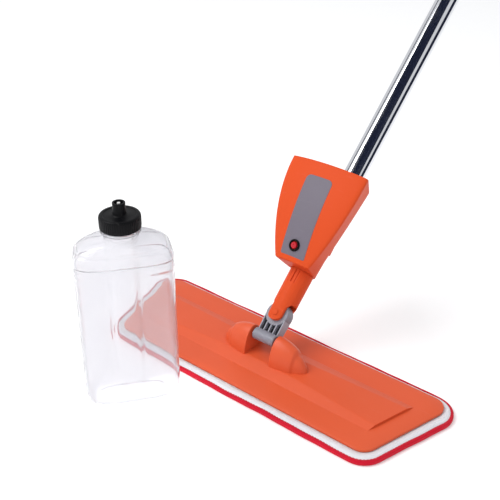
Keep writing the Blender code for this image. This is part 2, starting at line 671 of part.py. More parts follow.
def build_rear_body(body):
    """Adds the spine and the spigot that the lower tube slides onto, with the bore for the pull rod."""
    inner_back = HOUSING_BACK - HOUSING_WALL / 2
    spine_low = (-SPINE_HALF_WIDTH, -SPINE_FRONT, SPINE_BOTTOM)
    spine = box("spine", spine_low, (SPINE_HALF_WIDTH, inner_back, SPINE_TOP), POLE)
    spigot = rod("spigot", TUBE_RADIUS - TUBE_WALL - GAP, SPINE_TOP - 0.01, PLUG_TOP, POLE)
    boolean(body, boolean(spine, spigot, "UNION"), "UNION")
    boolean(body, rod("spine_bore", ROD_BORE, SPINE_BOTTOM - 0.02, PLUG_TOP + 0.02, POLE, segments=16))
    neck_bore = rod("neck_screw_bore", SCREW_SHANK_RADIUS + GAP, NECK_BORE, NECK_SCREW_FACE + 0.001, POLE,
                    axis="Y", at=(0, NECK_SCREW_HEIGHT), segments=12)
    boolean(body, neck_bore)
    neck_seat = rod("neck_screw_seat", SCREW_HEAD_RADIUS + GAP, NECK_SCREW_FACE, NECK_SCREW_FACE + 0.01, POLE,
                    axis="Y", at=(0, NECK_SCREW_HEIGHT), segments=16)
    boolean(body, neck_seat)
    tube_bore = rod("tube_screw_bore", SCREW_SHANK_RADIUS + GAP, 0.004, TUBE_RADIUS + 0.01, POLE,
                    axis="Y", at=(0, TUBE_SCREW_HEIGHT), segments=12)
    boolean(body, tube_bore)


def screw(name, face, length, height, axis="Y", offset=0.0):
    """A slotted pan-head screw: its head rests on a face this far out, and its shank points inwards."""
    centre = (offset, height)
    top = face + GAP + SCREW_HEAD_HEIGHT
    head = rod(name, SCREW_HEAD_RADIUS, face + GAP, top, POLE, STEEL, axis=axis, at=centre, segments=16)
    shank = rod(f"{name}_shank", SCREW_SHANK_RADIUS, face - length, face + 0.001, POLE,
                axis=axis, at=centre, segments=12)
    boolean(head, shank, "UNION")
    slot = box(f"{name}_slot", (top - 0.0008, -0.0022, -0.0004), (top + 0.001, 0.0022, 0.0004), POLE)
    slot.location = (0, offset, height)
    if axis == "Y":
        slot.location = (offset, 0, height)
        slot.rotation_euler = (0, 0, math.pi / 2)
    boolean(head, slot)


def build_nozzle():
    ring = nozzle_rod("nozzle_ring", NOZZLE_RING_RADIUS, PANEL_PROUD + GAP, 0.0022, DARK,
                      NOZZLE_RING_RADIUS - 0.0008)
    boolean(ring, nozzle_rod("ring_bore", NOZZLE_RING_BORE, -0.002, 0.006))
    tip = nozzle_rod("nozzle_tip", NOZZLE_TIP_RADIUS, -0.0075, 0.0030, RED, NOZZLE_TIP_RADIUS - 0.0006)
    boolean(tip, nozzle_rod("spray_hole", 0.0006, -0.02, 0.01))


# ---------------------------------------------------------------- pump, seat and hoses

def build_pump():
    outer = NECK_BORE - GAP
    floor = PUMP_BOTTOM + 0.0030
    guide = ROD_RADIUS + 0.0006
    body = turned("pump_body", [(0.0012, PUMP_BOTTOM), (outer, PUMP_BOTTOM), (outer, PUMP_TOP),
                                (guide, PUMP_TOP), (guide, PUMP_TOP - 0.003), (PUMP_BORE, PUMP_TOP - 0.003),
                                (PUMP_BORE, floor), (0.0012, floor)], POLE, WHITE_PLASTIC, segments=24)
    for name, x, height in (("inlet", PORT_SPREAD, INLET_HEIGHT), ("outlet", -PORT_SPREAD, OUTLET_HEIGHT)):
        port = rod(name, PORT_RADIUS, -outer - 0.0055, -PUMP_BORE - 0.0008, POLE,
                   axis="Y", at=(x, height), segments=12)
        boolean(body, port, "UNION")
        bore = rod(f"{name}_bore", 0.0009, -outer - 0.01, -0.003, POLE, axis="Y", at=(x, height), segments=8)
        boolean(body, bore)
    coil("pump_spring", 0.0042, floor + GAP, PISTON_BOTTOM - PUMP_TRAVEL - GAP, 3, POLE, STEEL)


def build_seat():
    """The cup that takes the upturned bottle's cap, with a receiver for its spout and a pin for its valve."""
    cap = CAP_RADIUS + GAP
    spout = SPOUT_RADIUS + 0.0008
    plate = SEAT_FLOOR - SEAT_PLATE
    receiver = SEAT_FLOOR - (SPOUT_TOP - CAP_TOP) - 0.002
    foot = receiver - 0.002
    rim = SEAT_FLOOR + SEAT_HEIGHT
    seat = turned("bottle_seat", [(0.0009, foot), (spout + 0.0014, foot), (spout + 0.0014, plate),
                                  (cap + SEAT_WALL, plate), (cap + SEAT_WALL, rim), (cap, rim),
                                  (cap, SEAT_FLOOR), (spout, SEAT_FLOOR),
                                  (spout, receiver), (0.0018, receiver), (0.0018, receiver + 0.006),
                                  (0.0009, receiver + 0.006)], POLE, WHITE_PLASTIC, segments=28)
    seat.location = (0, -SEAT_FRONT, 0)
    stub = turned("seat_stub", [(0.0009, receiver - 0.0065), (PORT_RADIUS, receiver - 0.0065),
                                (PORT_RADIUS, receiver - 0.001), (0.0009, receiver - 0.001)], POLE, segments=12)
    stub.location = seat.location
    boolean(seat, stub, "UNION")
    return receiver - 0.0065


def build_hoses(seat_foot):
    """Two short hoses: from the seat down to the pump, and from the pump to the nozzle."""
    start = -NECK_BORE - 0.0070
    pump_end = Vector((PORT_SPREAD, start, INLET_HEIGHT))
    seat_end = Vector((0, -SEAT_FRONT, seat_foot - 2 * GAP))
    inlet_route = [pump_end, pump_end + Vector((0, -0.005, 0.0002)),
                   seat_end + Vector((0.0010, 0.0010, -0.0045)), seat_end]
    pipe("inlet_hose", inlet_route, HOSE_RADIUS, HOSE_WALL, POLE, WHITE_PLASTIC)
    half_width, front, _ = housing_size(NOZZLE_HEIGHT)
    front += HOUSING_CROWN * half_width / HOUSING_HALF_WIDTH
    inwards = Vector((0, math.cos(NOZZLE_TILT), math.sin(NOZZLE_TILT)))
    spray_start = Vector((0, -front, NOZZLE_HEIGHT)) + 0.0082 * inwards
    pump_end = Vector((-PORT_SPREAD, start, OUTLET_HEIGHT))
    spray_route = [pump_end, pump_end + Vector((0, -0.003, 0)),
                   spray_start + Vector((-0.001, 0.0035, 0.0010)), spray_start]
    pipe("spray_hose", spray_route, HOSE_RADIUS, HOSE_WALL, POLE, WHITE_PLASTIC)


# ---------------------------------------------------------------- tubes and pull rod

def build_tubes():
    bottom = SPINE_TOP + GAP
    for name, low, high in (("lower_tube", bottom, TUBE_JOINT - GAP / 2),
                            ("upper_tube", TUBE_JOINT + GAP / 2, TUBE_TOP)):
        inner = TUBE_RADIUS - TUBE_WALL
        wall = [(inner, low), (TUBE_RADIUS, low), (TUBE_RADIUS, high), (inner, high)]
        turned(name, wall, POLE, CHROME, segments=32)
    plug = TUBE_RADIUS - TUBE_WALL - GAP
    turned("tube_coupler", [(ROD_BORE, TUBE_JOINT - COUPLER_REACH), (plug, TUBE_JOINT - COUPLER_REACH),
                            (plug, TUBE_JOINT + COUPLER_REACH), (ROD_BORE, TUBE_JOINT + COUPLER_REACH)],
           POLE, DARK, segments=24)
    inner = TUBE_RADIUS + GAP
    outer = inner + COLLAR_WALL
    low, high = TUBE_JOINT - COLLAR_LENGTH / 2, TUBE_JOINT + COLLAR_LENGTH / 2
    turned("tube_collar", [(inner, low), (outer - 0.001, low), (outer, low + 0.002), (outer, high - 0.002),
                           (outer - 0.001, high), (inner, high)], POLE, DARK, segments=28)
    hole = rod("tube_screw_hole", SCREW_SHANK_RADIUS + GAP, TUBE_RADIUS - 0.004, TUBE_RADIUS + 0.004, POLE,
               axis="Y", at=(0, TUBE_SCREW_HEIGHT), segments=12)
    boolean(bpy.data.objects["lower_tube"], hole)
    screw("tube_screw", TUBE_RADIUS, 0.0075, TUBE_SCREW_HEIGHT)
    slot = box("arm_slot", (-0.0045, -TUBE_RADIUS - 0.005, TRIGGER_PIVOT_HEIGHT - 0.016),
               (0.0045, 0, TRIGGER_PIVOT_HEIGHT + 0.016), POLE)
    boolean(bpy.data.objects["upper_tube"], slot)


def build_rod():
    """The pull rod carries the pump's piston and seal below and a cap for the trigger's nose above."""
    cap_top = TRIGGER_PIVOT_HEIGHT - NOSE_RADIUS - GAP
    cap_bottom = cap_top - ROD_CAP_HEIGHT
    rod("pull_rod", ROD_RADIUS, PISTON_BOTTOM + PISTON_HEIGHT + GAP, cap_bottom - GAP, POLE, STEEL, segments=12)
    rod("rod_cap", ROD_CAP_RADIUS, cap_bottom, cap_top, POLE, WHITE_PLASTIC, segments=16)
    bore = PUMP_BORE - GAP
    groove = bore - 0.0012
    seal_low = PISTON_BOTTOM + 0.005
    seal_high = seal_low + SEAL_THICK
    piston_top = PISTON_BOTTOM + PISTON_HEIGHT
    turned("pump_piston", [(0.0, PISTON_BOTTOM), (bore, PISTON_BOTTOM), (bore, seal_low - GAP),
                           (groove, seal_low - GAP), (groove, seal_high + GAP), (bore, seal_high + GAP),
                           (bore, piston_top), (0.0, piston_top)], POLE, DARK, segments=20)
    lip = PUMP_BORE - SEAL_CLEAR
    turned("piston_seal", [(groove + GAP, seal_low), (lip, seal_low), (lip, seal_high),
                           (groove + GAP, seal_high)], POLE, RUBBER, segments=20)


# ---------------------------------------------------------------- grip and trigger

def grip_section(angle, height):
    """Oval grip, waisted in the middle and rounded over at the top."""
    share = (height - GRIP_BOTTOM) / (GRIP_TOP - GRIP_BOTTOM)
    waist = 1 - 0.10 * math.sin(math.pi * share) ** 2
    end = math.sqrt(max(0.12, 1 - max(0, (share - 0.86) / 0.14) ** 2))
    x = power(math.cos(angle), 0.8) * GRIP_HALF_WIDTH * (0.97 if share < 0.02 else 1) * max(0.62, end)
    y = power(math.sin(angle), 0.8) * GRIP_HALF_DEPTH * waist * end
    return Vector((x, y + GRIP_OFFSET * share, height))


def build_grip():
    shares = (0, 0.02, 0.2, 0.4, 0.6, 0.8, 0.88, 0.94, 0.98, 1)
    heights = [GRIP_BOTTOM + GRIP_LENGTH * share for share in shares]
    far = 0.1
    for name, low_x, high_x in (("grip_left", -far, -GAP / 2), ("grip_right", GAP / 2, far)):
        half = lofted(name, heights, grip_section, POLE, DARK, segments=28)
        tube_bore = rod(f"{name}_bore", TUBE_RADIUS + GAP, GRIP_BOTTOM - 0.01, TUBE_TOP + GAP, POLE, segments=32)
        boolean(half, tube_bore)
        boolean(half, box(f"{name}_half", (low_x, -far, 0), (high_x, far, 2), POLE), "INTERSECT")
        slot_low = (-TRIGGER_WIDTH / 2 - 2 * GAP, -0.06, GRIP_BOTTOM + 0.006)
        slot_high = (TRIGGER_WIDTH / 2 + 2 * GAP, -0.008, GRIP_BOTTOM + 0.034)
        boolean(half, box(f"{name}_slot", slot_low, slot_high, POLE))
        boolean(half, rod(f"{name}_hang_hole", HANG_HOLE_RADIUS, -0.05, 0.05, POLE, axis="X",
                          at=(GRIP_OFFSET, GRIP_TOP - HANG_HOLE_DEPTH), segments=20))
        pin = TRIGGER_PIN_RADIUS + GAP / 2
        boolean(half, rod(f"{name}_pin_bore", pin, -0.0128, 0.0128, POLE, axis="X",
                          at=(-TRIGGER_PIVOT_FRONT + 0.006, TRIGGER_PIVOT_HEIGHT), segments=16))
        for height in GRIP_SCREW_HEIGHTS:
            centre = (GRIP_OFFSET, height)
            bore = SCREW_SHANK_RADIUS + GAP
            hole = rod(f"{name}_screw_bore_{height}", bore, -0.009, 0.05, POLE, axis="X", at=centre, segments=12)
            boolean(half, hole)
            seat = rod(f"{name}_screw_seat_{height}", SCREW_HEAD_RADIUS + GAP, GRIP_SCREW_FACE, 0.05, POLE,
                       axis="X", at=centre, segments=16)
            boolean(half, seat)
    screw("grip_screw_lower", GRIP_SCREW_FACE, 0.018, GRIP_SCREW_HEIGHTS[0], axis="X", offset=GRIP_OFFSET)
    screw("grip_screw_upper", GRIP_SCREW_FACE, 0.018, GRIP_SCREW_HEIGHTS[1], axis="X", offset=GRIP_OFFSET)


def build_trigger():
    """Finger lever on a pin: its blade stands off the grip, its arm's nose presses on the rod's cap."""
    frame = TRIGGER
    half = TRIGGER_WIDTH / 2
    hub = rod("trigger", 0.0050, -half, half, frame, DARK, axis="X", segments=20)
    blade = box("blade", (-half, -0.0024, 0), (half, 0.0024, TRIGGER_LENGTH), frame)
    bevel(blade, 0.0015, 2)
    blade.rotation_euler = (TRIGGER_SPLAY, 0, 0)
    boolean(hub, blade, "UNION")
    arm = box("arm", (-0.0030, 0, -0.0016), (0.0030, TRIGGER_ARM, 0.0018), frame)
    nose = rod("nose", NOSE_RADIUS, -0.0030, 0.0030, frame, axis="X", at=(TRIGGER_ARM, 0), segments=16)
    boolean(hub, boolean(arm, nose, "UNION"), "UNION")
    boolean(hub, rod("trigger_bore", TRIGGER_PIN_RADIUS + GAP, -0.02, 0.02, frame, axis="X", segments=16))
    reach = 0.0125
    rod("trigger_pin", TRIGGER_PIN_RADIUS, -reach, reach, frame, STEEL, axis="X", segments=16)


# ---------------------------------------------------------------- bottle

def bottle_section(inset):
    """A rounded rectangle that draws in to the neck above the shoulder and rounds under at the foot."""
    def section(angle, height):
        foot = min(1, max(0, (height - inset) / BOTTLE_FOOT))
        drawn_in = inset + BOTTLE_FOOT_INSET * (1 - math.sqrt(1 - (1 - foot) ** 2))
        half_width = BOTTLE_WIDTH / 2 - drawn_in
        half_depth = BOTTLE_DEPTH / 2 - drawn_in
        exponent = 0.5
        if height > BOTTLE_SHOULDER - inset:
            share = min(1, (height + inset - BOTTLE_SHOULDER) / (BOTTLE_TOP - BOTTLE_SHOULDER))
            fall = 1 - math.sqrt(1 - share**2)
            neck = BOTTLE_NECK_RADIUS - inset
            half_width += (neck - half_width) * fall
            half_depth += (neck - half_depth) * fall
            exponent += (1 - exponent) * fall
        x = power(math.cos(angle), exponent) * half_width
        y = power(math.sin(angle), exponent) * half_depth
        return Vector((x, y, height))
    return section


def build_bottle():
    foot = [BOTTLE_FOOT * s for s in (0, 0.12, 0.35, 0.65, 1)]
    span = BOTTLE_TOP - BOTTLE_SHOULDER
    shoulder = [BOTTLE_SHOULDER + span * s for s in (0, 0.35, 0.62, 0.82, 0.95, 1)]
    neck = [BOTTLE_NECK_TOP]
    bottle = lofted("bottle", foot + shoulder + neck, bottle_section(0), BOTTLE, CLEAR, segments=40)
    wall = BOTTLE_WALL
    inner_heights = [h + wall for h in foot] + [h - wall for h in shoulder] + [BOTTLE_NECK_TOP + 0.01]
    inner = lofted("bottle_inside", inner_heights, bottle_section(wall), BOTTLE, segments=40)
    groove_reach = TUBE_RADIUS + 0.0011
    for solid, extra, name in ((bottle, 0, "groove"), (inner, wall, "groove_inside")):
        low_y = BOTTLE_DEPTH / 2 - GROOVE_DEPTH - extra
        low = (-groove_reach - extra, low_y, -0.02)
        cutter = box(name, low, (groove_reach + extra, 0.06, BOTTLE_TOP - 0.0002 + extra), BOTTLE)
        boolean(solid, cutter)
    boolean(bottle, inner)
    root = BOTTLE_NECK_RADIUS - 0.0006
    ring = turned("neck_ring", [(root, NECK_RING_BOTTOM), (NECK_RING_RADIUS, NECK_RING_BOTTOM),
                                (NECK_RING_RADIUS, NECK_RING_TOP), (root, NECK_RING_TOP)], BOTTLE, segments=40)
    boolean(bottle, ring, "UNION")


def build_cap():
    inner = BOTTLE_NECK_RADIUS + GAP
    ceiling = CAP_TOP - CAP_WALL
    lip = SPOUT_TOP - 0.0058
    turned("bottle_cap", [(SPOUT_BORE, CAP_TOP), (DRAIN_RADIUS, CAP_TOP), (DRAIN_RADIUS, ceiling),
                          (inner, ceiling), (inner, CAP_BOTTOM), (CAP_RADIUS, CAP_BOTTOM),
                          (CAP_RADIUS, CAP_TOP - 0.0012), (CAP_RADIUS - 0.0012, CAP_TOP),
                          (SPOUT_RADIUS + 0.0003, CAP_TOP), (SPOUT_RADIUS + 0.0003, lip),
                          (SPOUT_RADIUS - 0.0004, lip + 0.0006), (SPOUT_RADIUS - 0.0001, SPOUT_TOP),
                          (SPOUT_BORE, SPOUT_TOP), (SPOUT_BORE, lip + 0.0018), (DRAIN_RADIUS, lip + 0.0018),
                          (DRAIN_RADIUS, lip), (SPOUT_BORE, lip)], BOTTLE, DARK, segments=40)
    seal_foot = BOTTLE_NECK_TOP + GAP
    turned("cap_gasket", [(GASKET_BORE, seal_foot), (BOTTLE_NECK_RADIUS, seal_foot),
                          (BOTTLE_NECK_RADIUS, ceiling - GAP), (GASKET_BORE, ceiling - GAP)],
           BOTTLE, RUBBER, segments=32)
    disc = lip - GAP
    turned("valve_plunger", [(0, disc - 0.0016), (PLUNGER_RADIUS, disc - 0.0016), (PLUNGER_RADIUS, disc),
                             (PLUNGER_STEM_RADIUS, disc), (PLUNGER_STEM_RADIUS, SPOUT_TOP - 0.0005),
                             (0, SPOUT_TOP - 0.0005)], BOTTLE, WHITE_PLASTIC, segments=20)
    coil("valve_spring", 0.0032, CAP_TOP + GAP, disc - 0.0016 - GAP, 2, BOTTLE, STEEL)


# ---------------------------------------------------------------- assembly

clear_scene()
PARTS = new_collection("flat_mop")
CUTTERS = new_collection("flat_mop_cutters", helper=True)
HEAD = new_frame("head_frame", (0, 0, 0), (0, 0, 0))
POLE = new_frame("pole_frame", POLE_ORIGIN, (-POLE_LEAN, 0, 0))
TRIGGER = new_frame("trigger_frame", (0, -TRIGGER_PIVOT_FRONT, TRIGGER_PIVOT_HEIGHT), (0, 0, 0), POLE)
BOTTLE = new_frame("bottle_frame", BOTTLE_PLACE, (0, 0, BOTTLE_TURN))

build_head()
build_pad()
build_yoke()
build_neck()
build_housing()
build_nozzle()
build_pump()
build_hoses(build_seat())
build_tubes()
build_rod()
build_grip()
build_trigger()
build_bottle()
build_cap()
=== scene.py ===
"""Looks of the spray flat mop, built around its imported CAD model.

Metres, +Z up. The pole's pieces are made in the pole's own frame, whose Z runs up the pole and whose
-Y faces the spray nozzle, and the bottle's in its own upright frame. Every mesh ends up in the row frame.
"""

import math
import random

import bmesh
import bpy
from mathutils import Matrix, Vector


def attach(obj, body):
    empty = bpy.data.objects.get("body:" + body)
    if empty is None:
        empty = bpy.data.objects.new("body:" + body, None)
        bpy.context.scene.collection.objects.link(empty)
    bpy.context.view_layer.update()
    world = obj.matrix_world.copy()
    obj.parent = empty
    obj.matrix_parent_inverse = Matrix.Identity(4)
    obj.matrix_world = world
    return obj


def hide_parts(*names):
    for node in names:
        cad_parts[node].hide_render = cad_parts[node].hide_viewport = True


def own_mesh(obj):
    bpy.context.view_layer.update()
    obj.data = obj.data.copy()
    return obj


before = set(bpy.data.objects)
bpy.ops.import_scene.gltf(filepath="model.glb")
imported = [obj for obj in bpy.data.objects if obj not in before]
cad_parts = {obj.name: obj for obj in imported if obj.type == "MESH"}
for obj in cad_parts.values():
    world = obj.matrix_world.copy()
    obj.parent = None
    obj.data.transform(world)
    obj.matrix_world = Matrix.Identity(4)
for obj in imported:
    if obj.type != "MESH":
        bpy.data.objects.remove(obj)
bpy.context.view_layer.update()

# ---------------------------------------------------------------- sizes

GAP = 0.0003

# Head plate, pad and binding
PLATE_LENGTH = 0.365
PLATE_WIDTH = 0.116
PLATE_FLARE = 0.263
PLATE_CORNER = 0.016
PLATE_BOTTOM = 0.0062
HEAD_Z = 0.0098
EDGE_ROUND = 0.0009
PLATEAU_HALF_WIDTH = 0.0295
PLATEAU_END = 0.0225
PLATEAU_RISE = 0.0050
PLATEAU_END_RISE = 0.0026
PAD_MARGIN = 0.0122
BINDING_WIDTH = 0.0044
BINDING_TOP = 0.0060
PAD_TOP = 0.0057
PAD_FLOOR = 0.0022
PAD_PUFF = 0.0013
PAD_DRAWN_IN = 0.0032            # how far the pad's rear edge sits in towards the plate
TUFT_PITCH = 0.0072
TUFT_RADIUS = 0.0030
TUFT_INSET = 0.0060
STITCH_PITCH = 0.0034
STITCH_LENGTH = 0.0021
STITCH_RADIUS = 0.00028

# Humps and yoke
HUMP_GAP = 0.033
HUMP_LENGTH = 0.040
HUMP_HALF_WIDTH = 0.0165
HUMP_RISE = 0.0340
HUMP_STEP = (0.62, 0.69)        # share of the length over which the dome steps down to its rim band
HUMP_STEP_DROP = 0.12
BARREL_RADIUS = 0.0066
BARREL_LENGTH = 0.0275
EYE_RADIUS = 0.0135
EYE_THICK = 0.0132
PIN_SPACING = 0.028
PIN_OFFSET = 0.0044
HEAD_PIN_HEIGHT = 0.036
RIB_COUNT = 5
RIB_THICK = 0.0013
WEB_THICK = 0.0024
FORK_HALF_THICK = 0.0136

# Housing
POLE_LEAN = math.radians(47.3)
HOUSING_BOTTOM = 0.081
HOUSING_TOP = 0.188
HOUSING_HALF_WIDTH = 0.0495
HOUSING_FRONT = 0.053
HOUSING_FOOT_HALF_WIDTH = 0.0225
HOUSING_FOOT_FRONT = 0.0305
HOUSING_BACK = 0.0152
HOUSING_BACK_HALF_WIDTH = 0.0240
HOUSING_FOOT_BACK_HALF_WIDTH = 0.0142
HOUSING_CROWN = 0.0065
HOUSING_WALL = 0.0022
NECK_HOLE = 0.0070
SPLIT_FRONT = 0.013
SPINE_HALF_WIDTH = 0.0130
SPINE_FRONT = 0.0080
SPINE_BOTTOM = 0.1125
SPINE_TOP = 0.181
SPINE_BACK_INSET = 0.001
PLUG_BORE = 0.003
PLUG_ROOT = 0.171
PLUG_TOP = 0.238
NOZZLE_HEIGHT = 0.0975
NOZZLE_TILT = math.radians(20)

# Tubes
TUBE_RADIUS = 0.0125
TUBE_WALL = 0.0012
TUBE_JOINT = 0.620
TUBE_TOP = 1.085

# Bottle and cap
BOTTLE_PLACE = (-0.0755, -0.1256, 0.0)
BOTTLE_TURN = math.radians(52)
BOTTLE_WIDTH = 0.0967
BOTTLE_DEPTH = 0.053
BOTTLE_SHOULDER = 0.166
BOTTLE_TOP = 0.1865
BOTTLE_WALL = 0.0013
BOTTLE_FOOT = 0.020
BOTTLE_FOOT_INSET = 0.012
BOTTLE_NECK_RADIUS = 0.0170
BOTTLE_NECK_TOP = 0.2045
GROOVE_DEPTH = 0.0097
GROOVE_INNER = 0.0100
GROOVE_OUTER = 0.0165
RIB_HEIGHTS = (0.162, 0.176)
RIB_DEPTH = 0.0013
RIB_HALF_HEIGHT = 0.0022
CAP_RADIUS = 0.0201
CAP_BOTTOM = 0.1957
CAP_TOP = 0.2090
CAP_KNURLS = 56
KNURL_DEPTH = 0.00045
SPOUT_LIP = 0.2154
SPOUT_HOLE = 0.0026

HEAD = Matrix.Identity(4)
POLE_ORIGIN = Vector((0, PIN_OFFSET * math.cos(POLE_LEAN),
                      HEAD_PIN_HEIGHT - PIN_OFFSET * math.sin(POLE_LEAN)))
POLE = Matrix.Translation(POLE_ORIGIN) @ Matrix.Rotation(-POLE_LEAN, 4, "X")
BOTTLE = Matrix.Translation(BOTTLE_PLACE) @ Matrix.Rotation(BOTTLE_TURN, 4, "Z")


# ---------------------------------------------------------------- node helpers

def group_tree(name, inputs, outputs):
    """An empty shader group with named sockets; inputs map a name to (type, default)."""
    tree = bpy.data.node_groups.new(name, "ShaderNodeTree")
    for socket, (kind, default) in inputs.items():
        made = tree.interface.new_socket(socket, in_out="INPUT", socket_type=kind)
        made.default_value = default
    for socket, kind in outputs.items():
        tree.interface.new_socket(socket, in_out="OUTPUT", socket_type=kind)
    return tree, tree.nodes.new("NodeGroupInput"), tree.nodes.new("NodeGroupOutput")


def add(tree, kind, inputs=None, **settings):
    """A node with its settings and inputs; an input is a value or another node's output."""
    made = tree.nodes.new(f"ShaderNode{kind}")
    for name, value in settings.items():
        setattr(made, name, value)
    for name, value in (inputs or {}).items():
        if isinstance(value, bpy.types.NodeSocket):
            tree.links.new(value, made.inputs[name])
        else:
            made.inputs[name].default_value = value
    return made


def mixed(tree, factor, first, second, blend="MIX"):
    """The colour output of a mix of two colours."""
    made = add(tree, "Mix", data_type="RGBA", blend_type=blend)
    for index, value in ((0, factor), (6, first), (7, second)):
        if isinstance(value, bpy.types.NodeSocket):
            tree.links.new(value, made.inputs[index])
        else:
            made.inputs[index].default_value = value
    return made.outputs[2]


def ranged(tree, value, low, high):
    """A 0 to 1 value moved to the range low to high."""
    return add(tree, "MapRange", {"Value": value, "To Min": low, "To Max": high}).outputs["Result"]


FLOAT, COLOUR, VECTOR = "NodeSocketFloat", "NodeSocketColor", "NodeSocketVector"


def moulded_group():
    """Moulded plastic: a fine spark-eroded grain, slow tone drift, and small scuffs that dull the gloss."""
    tree, given, result = group_tree(
        "moulded_surface",
        {"Place": (VECTOR, (0, 0, 0)), "Colour": (COLOUR, (1, 1, 1, 1)), "Grain Scale": (FLOAT, 1800),
         "Roughness": (FLOAT, 0.4), "Drift": (FLOAT, 0.1), "Scuffs": (FLOAT, 0.3)},
        {"Colour": COLOUR, "Roughness": FLOAT, "Height": FLOAT},
    )
    place = given.outputs["Place"]
    grain = add(tree, "TexNoise", {"Vector": place, "Scale": given.outputs["Grain Scale"], "Detail": 2})
    drift = add(tree, "TexNoise", {"Vector": place, "Scale": 14, "Detail": 2, "Roughness": 0.6})
    scratch_place = add(tree, "Mapping", {"Vector": place, "Rotation": (0.3, 0.5, 0.8), "Scale": (40, 420, 160)})
    scratch = add(tree, "TexNoise", {"Vector": scratch_place.outputs["Vector"], "Scale": 1, "Detail": 3})
    marks = add(tree, "ValToRGB", {"Fac": scratch.outputs["Fac"]})
    marks.color_ramp.elements[0].position = 0.64
    marks.color_ramp.elements[1].position = 0.74
    shade = add(tree, "Math", {0: drift.outputs["Fac"], 1: given.outputs["Drift"]}, operation="MULTIPLY")
    dark = mixed(tree, shade.outputs[0], given.outputs["Colour"], (0.45, 0.42, 0.42, 1), "MULTIPLY")
    worn = add(tree, "Math", {0: marks.outputs["Color"], 1: given.outputs["Scuffs"]}, operation="MULTIPLY")
    pale = add(tree, "Math", {0: worn.outputs[0], 1: 0.05}, operation="MULTIPLY")
    tree.links.new(mixed(tree, pale.outputs[0], dark, (0.9, 0.88, 0.86, 1)), result.inputs["Colour"])
    dull = add(tree, "Math", {0: worn.outputs[0], 1: 0.22, 2: given.outputs["Roughness"]},
               operation="MULTIPLY_ADD")
    uneven = add(tree, "Math", {0: drift.outputs["Fac"], 1: 0.10, 2: dull.outputs[0]},
                 operation="MULTIPLY_ADD")
    tree.links.new(uneven.outputs[0], result.inputs["Roughness"])
    tree.links.new(grain.outputs["Fac"], result.inputs["Height"])
    return tree


def weave_group():
    """Plain-woven or looped cloth: two crossing thread waves, fluff and a shaded gap between threads."""
    tree, given, result = group_tree(
        "woven_cloth",
        {"Place": (VECTOR, (0, 0, 0)), "Colour": (COLOUR, (1, 1, 1, 1)),
         "Gap Colour": (COLOUR, (0, 0, 0, 1)), "Threads": (FLOAT, 700), "Fluff": (FLOAT, 0.5)},
        {"Colour": COLOUR, "Height": FLOAT},
    )
    place = given.outputs["Place"]
    waves = []
    for direction in ("X", "Y"):
        wave = add(tree, "TexWave", {"Vector": place, "Scale": given.outputs["Threads"], "Distortion": 1.2,
                                     "Detail": 1.5, "Detail Scale": 2}, bands_direction=direction)
        waves.append(wave.outputs["Fac"])
    threads = add(tree, "Math", {0: waves[0], 1: waves[1]}, operation="MULTIPLY")
    fluff = add(tree, "TexNoise", {"Vector": place, "Scale": 900, "Detail": 4, "Roughness": 0.7})
    patches = add(tree, "TexNoise", {"Vector": place, "Scale": 60, "Detail": 2})
    height = add(tree, "Math", {0: fluff.outputs["Fac"], 1: given.outputs["Fluff"], 2: threads.outputs[0]},
                 operation="MULTIPLY_ADD")
    both = add(tree, "Math", {0: threads.outputs[0], 1: fluff.outputs["Fac"]}, operation="ADD")
    body = mixed(tree, ranged(tree, both.outputs[0], 0.15, 1.0), given.outputs["Gap Colour"],
                 given.outputs["Colour"])
    tone = ranged(tree, patches.outputs["Fac"], 0.0, 0.22)
    tree.links.new(mixed(tree, tone, body, given.outputs["Gap Colour"]), result.inputs["Colour"])
    tree.links.new(height.outputs[0], result.inputs["Height"])
    return tree


def smudge_group():
    """Handling marks on polished metal or clear plastic: faint cloudy smears and fine wiping lines."""
    tree, given, result = group_tree(
        "handling_marks",
        {"Place": (VECTOR, (0, 0, 0)), "Low": (FLOAT, 0.05), "High": (FLOAT, 0.2),
         "Stretch": (VECTOR, (1, 1, 1))},
        {"Roughness": FLOAT, "Height": FLOAT, "Mask": FLOAT},
    )
    stretched = add(tree, "Mapping", {"Vector": given.outputs["Place"], "Scale": given.outputs["Stretch"]})
    cloud = add(tree, "TexNoise", {"Vector": stretched.outputs["Vector"], "Scale": 22, "Detail": 5,
                                   "Roughness": 0.65})
    lines = add(tree, "TexNoise", {"Vector": stretched.outputs["Vector"], "Scale": 900, "Detail": 2})
    curve = add(tree, "ValToRGB", {"Fac": cloud.outputs["Fac"]})
    curve.color_ramp.elements[0].position = 0.42
    curve.color_ramp.elements[1].position = 0.75
    span = add(tree, "MapRange", {"Value": curve.outputs["Color"], "To Min": given.outputs["Low"],
                                  "To Max": given.outputs["High"]})
    tree.links.new(span.outputs["Result"], result.inputs["Roughness"])
    tree.links.new(lines.outputs["Fac"], result.inputs["Height"])
    tree.links.new(curve.outputs["Color"], result.inputs["Mask"])
    return tree


GROUPS = {"moulded": moulded_group(), "weave": weave_group(), "smudge": smudge_group()}


# ---------------------------------------------------------------- materials

def new_look(name):
    """A new material: (material, its tree, its Principled shader, the Object coordinates)."""
    look = bpy.data.materials.new(name)
    look.use_nodes = True
    tree = look.node_tree
    place = add(tree, "TexCoord").outputs["Object"]
    return look, tree, tree.nodes["Principled BSDF"], place


def bumped(tree, shader, height, distance, strength=1.0):
    bump = add(tree, "Bump", {"Height": height, "Distance": distance, "Strength": strength})
    tree.links.new(bump.outputs["Normal"], shader.inputs["Normal"])


